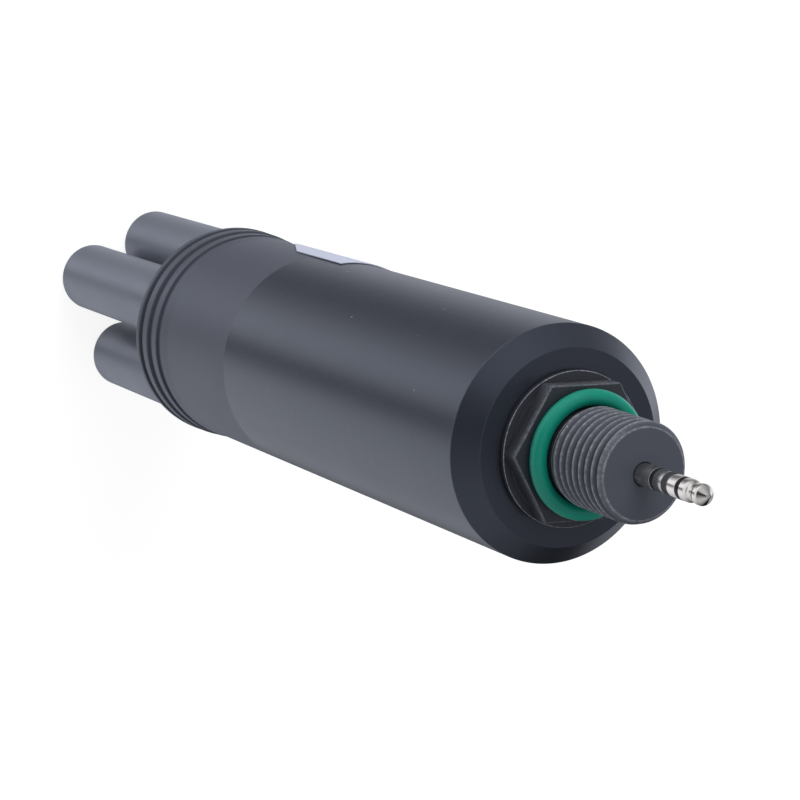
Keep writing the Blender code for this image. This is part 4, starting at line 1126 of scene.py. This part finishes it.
# Heights of the direction, from -1 below to 1 above, over which each turns into the next
TO_LEVEL = (-0.75, -0.40)
TO_HIGH = (-0.15, 0.30)
TO_ZENITH = (0.68, 0.84)

STUDIO_TONE = (1.11, 1.16, 1.29)    # the studio's light is a little blue
FILL = (0.42, 0.42, 0.43)
WHITE = (1.0, 1.0, 1.0)


def ramp(graph, where, stops):
    """A colour ramp over (degrees, brightness) stops."""
    node = graph.node("ShaderNodeValToRGB")
    node.color_ramp.interpolation = "EASE"
    elements = node.color_ramp.elements
    while len(elements) < len(stops):
        elements.new(0.5)
    for element, (degrees, value) in zip(elements, stops):
        element.position = degrees / 360
        element.color = (value, value, value, 1.0)
    graph.put(node.inputs[0], where)
    return node.outputs[0]


def seen_directly(graph):
    """1 where the camera looks, also through glass."""
    path = graph.node("ShaderNodeLightPath")
    return graph.math("MAXIMUM", path.outputs["Is Camera Ray"], path.outputs["Is Transmission Ray"])


def make_world():
    """White where the camera looks; gloss sees a soft studio; the rest is an even fill."""
    world = bpy.data.worlds.new("studio")
    bpy.context.scene.world = world
    world.use_nodes = True
    graph = Graph(world.node_tree)
    world.node_tree.nodes.clear()
    direction = graph.node("ShaderNodeTexCoord").outputs["Generated"]
    x, y, z = graph.node("ShaderNodeSeparateXYZ", {"Vector": direction}).outputs
    turns = graph.math("DIVIDE", graph.math("ARCTAN2", y, x), 2 * math.pi)
    around = graph.math("FRACT", graph.math("ADD", turns, 1.0))
    view = ramp(graph, around, LOW_STUDIO)
    view = graph.mix(graph.spread(z, *TO_LEVEL, smooth=True), view, ramp(graph, around, LEVEL_STUDIO))
    view = graph.mix(graph.spread(z, *TO_HIGH, smooth=True), view, ramp(graph, around, HIGH_STUDIO))
    view = graph.mix(graph.spread(z, *TO_ZENITH, smooth=True), view, colour(ZENITH))
    tone = graph.node("ShaderNodeVectorMath", {0: view, 1: STUDIO_TONE}, operation="MULTIPLY")
    glossy = graph.node("ShaderNodeLightPath").outputs["Is Glossy Ray"]
    light = graph.mix(glossy, colour(FILL), tone.outputs[0])
    light = graph.mix(seen_directly(graph), light, colour(WHITE))
    background = graph.node("ShaderNodeBackground", {"Color": light, "Strength": 1.0})
    output = graph.node("ShaderNodeOutputWorld")
    graph.put(output.inputs["Surface"], background.outputs[0])


FLOOR_REACH = 6.0
FLOOR_PAINT = (0.78, 0.78, 0.78)
FLOOR_SEEN = (0.32, 0.32, 0.32)
FLOOR_GLOW = 0.86


def make_floor():
    """Pale paint for the light; the camera sees near white with a faint shadow."""
    material = bpy.data.materials.new("floor_paint")
    material.use_nodes = True
    graph = Graph(material.node_tree)
    material.node_tree.nodes.clear()
    paint = graph.node("ShaderNodeBsdfDiffuse", {"Color": colour(FLOOR_PAINT)})
    shaded = graph.node("ShaderNodeBsdfDiffuse", {"Color": colour(FLOOR_SEEN)})
    glow = graph.node("ShaderNodeEmission", {"Color": colour(WHITE), "Strength": FLOOR_GLOW})
    seen = graph.node("ShaderNodeAddShader", {0: shaded.outputs[0], 1: glow.outputs[0]})
    both = graph.node("ShaderNodeMixShader", {
        0: seen_directly(graph), 1: paint.outputs[0], 2: seen.outputs[0]})
    output = graph.node("ShaderNodeOutputMaterial")
    graph.put(output.inputs["Surface"], both.outputs[0])
    mesh = bpy.data.meshes.new("floor")
    corners = [(x * FLOOR_REACH, y * FLOOR_REACH, 0) for x, y in ((-1, -1), (1, -1), (1, 1), (-1, 1))]
    mesh.from_pydata(corners, [], [(0, 1, 2, 3)])
    floor = new_object("floor", mesh, material)
    floor.visible_glossy = False


LAMP_SIZE = 0.9
LAMP_POWER = 5.2
LAMP_AROUND = math.radians(105)
LAMP_UP = math.radians(32)
LAMP_DISTANCE = 1.0
LAMP_TARGET = (0, 0, 0.09)


def make_lamp():
    """One large soft lamp on the +Y side, above."""
    data = bpy.data.lights.new("key", "AREA")
    data.shape = "DISK"
    data.size = LAMP_SIZE
    data.energy = LAMP_POWER
    lamp = bpy.data.objects.new("key", data)
    bpy.context.scene.collection.objects.link(lamp)
    level = math.cos(LAMP_UP)
    direction = Vector((
        level * math.cos(LAMP_AROUND), level * math.sin(LAMP_AROUND), math.sin(LAMP_UP)))
    lamp.location = Vector(LAMP_TARGET) + direction * LAMP_DISTANCE
    lamp.rotation_euler = direction.to_track_quat("Z", "Y").to_euler()
    lamp.visible_camera = False
    lamp.visible_glossy = False


make_camera()
make_world()
make_floor()
make_lamp()
bpy.context.scene.view_settings.view_transform = "Standard"
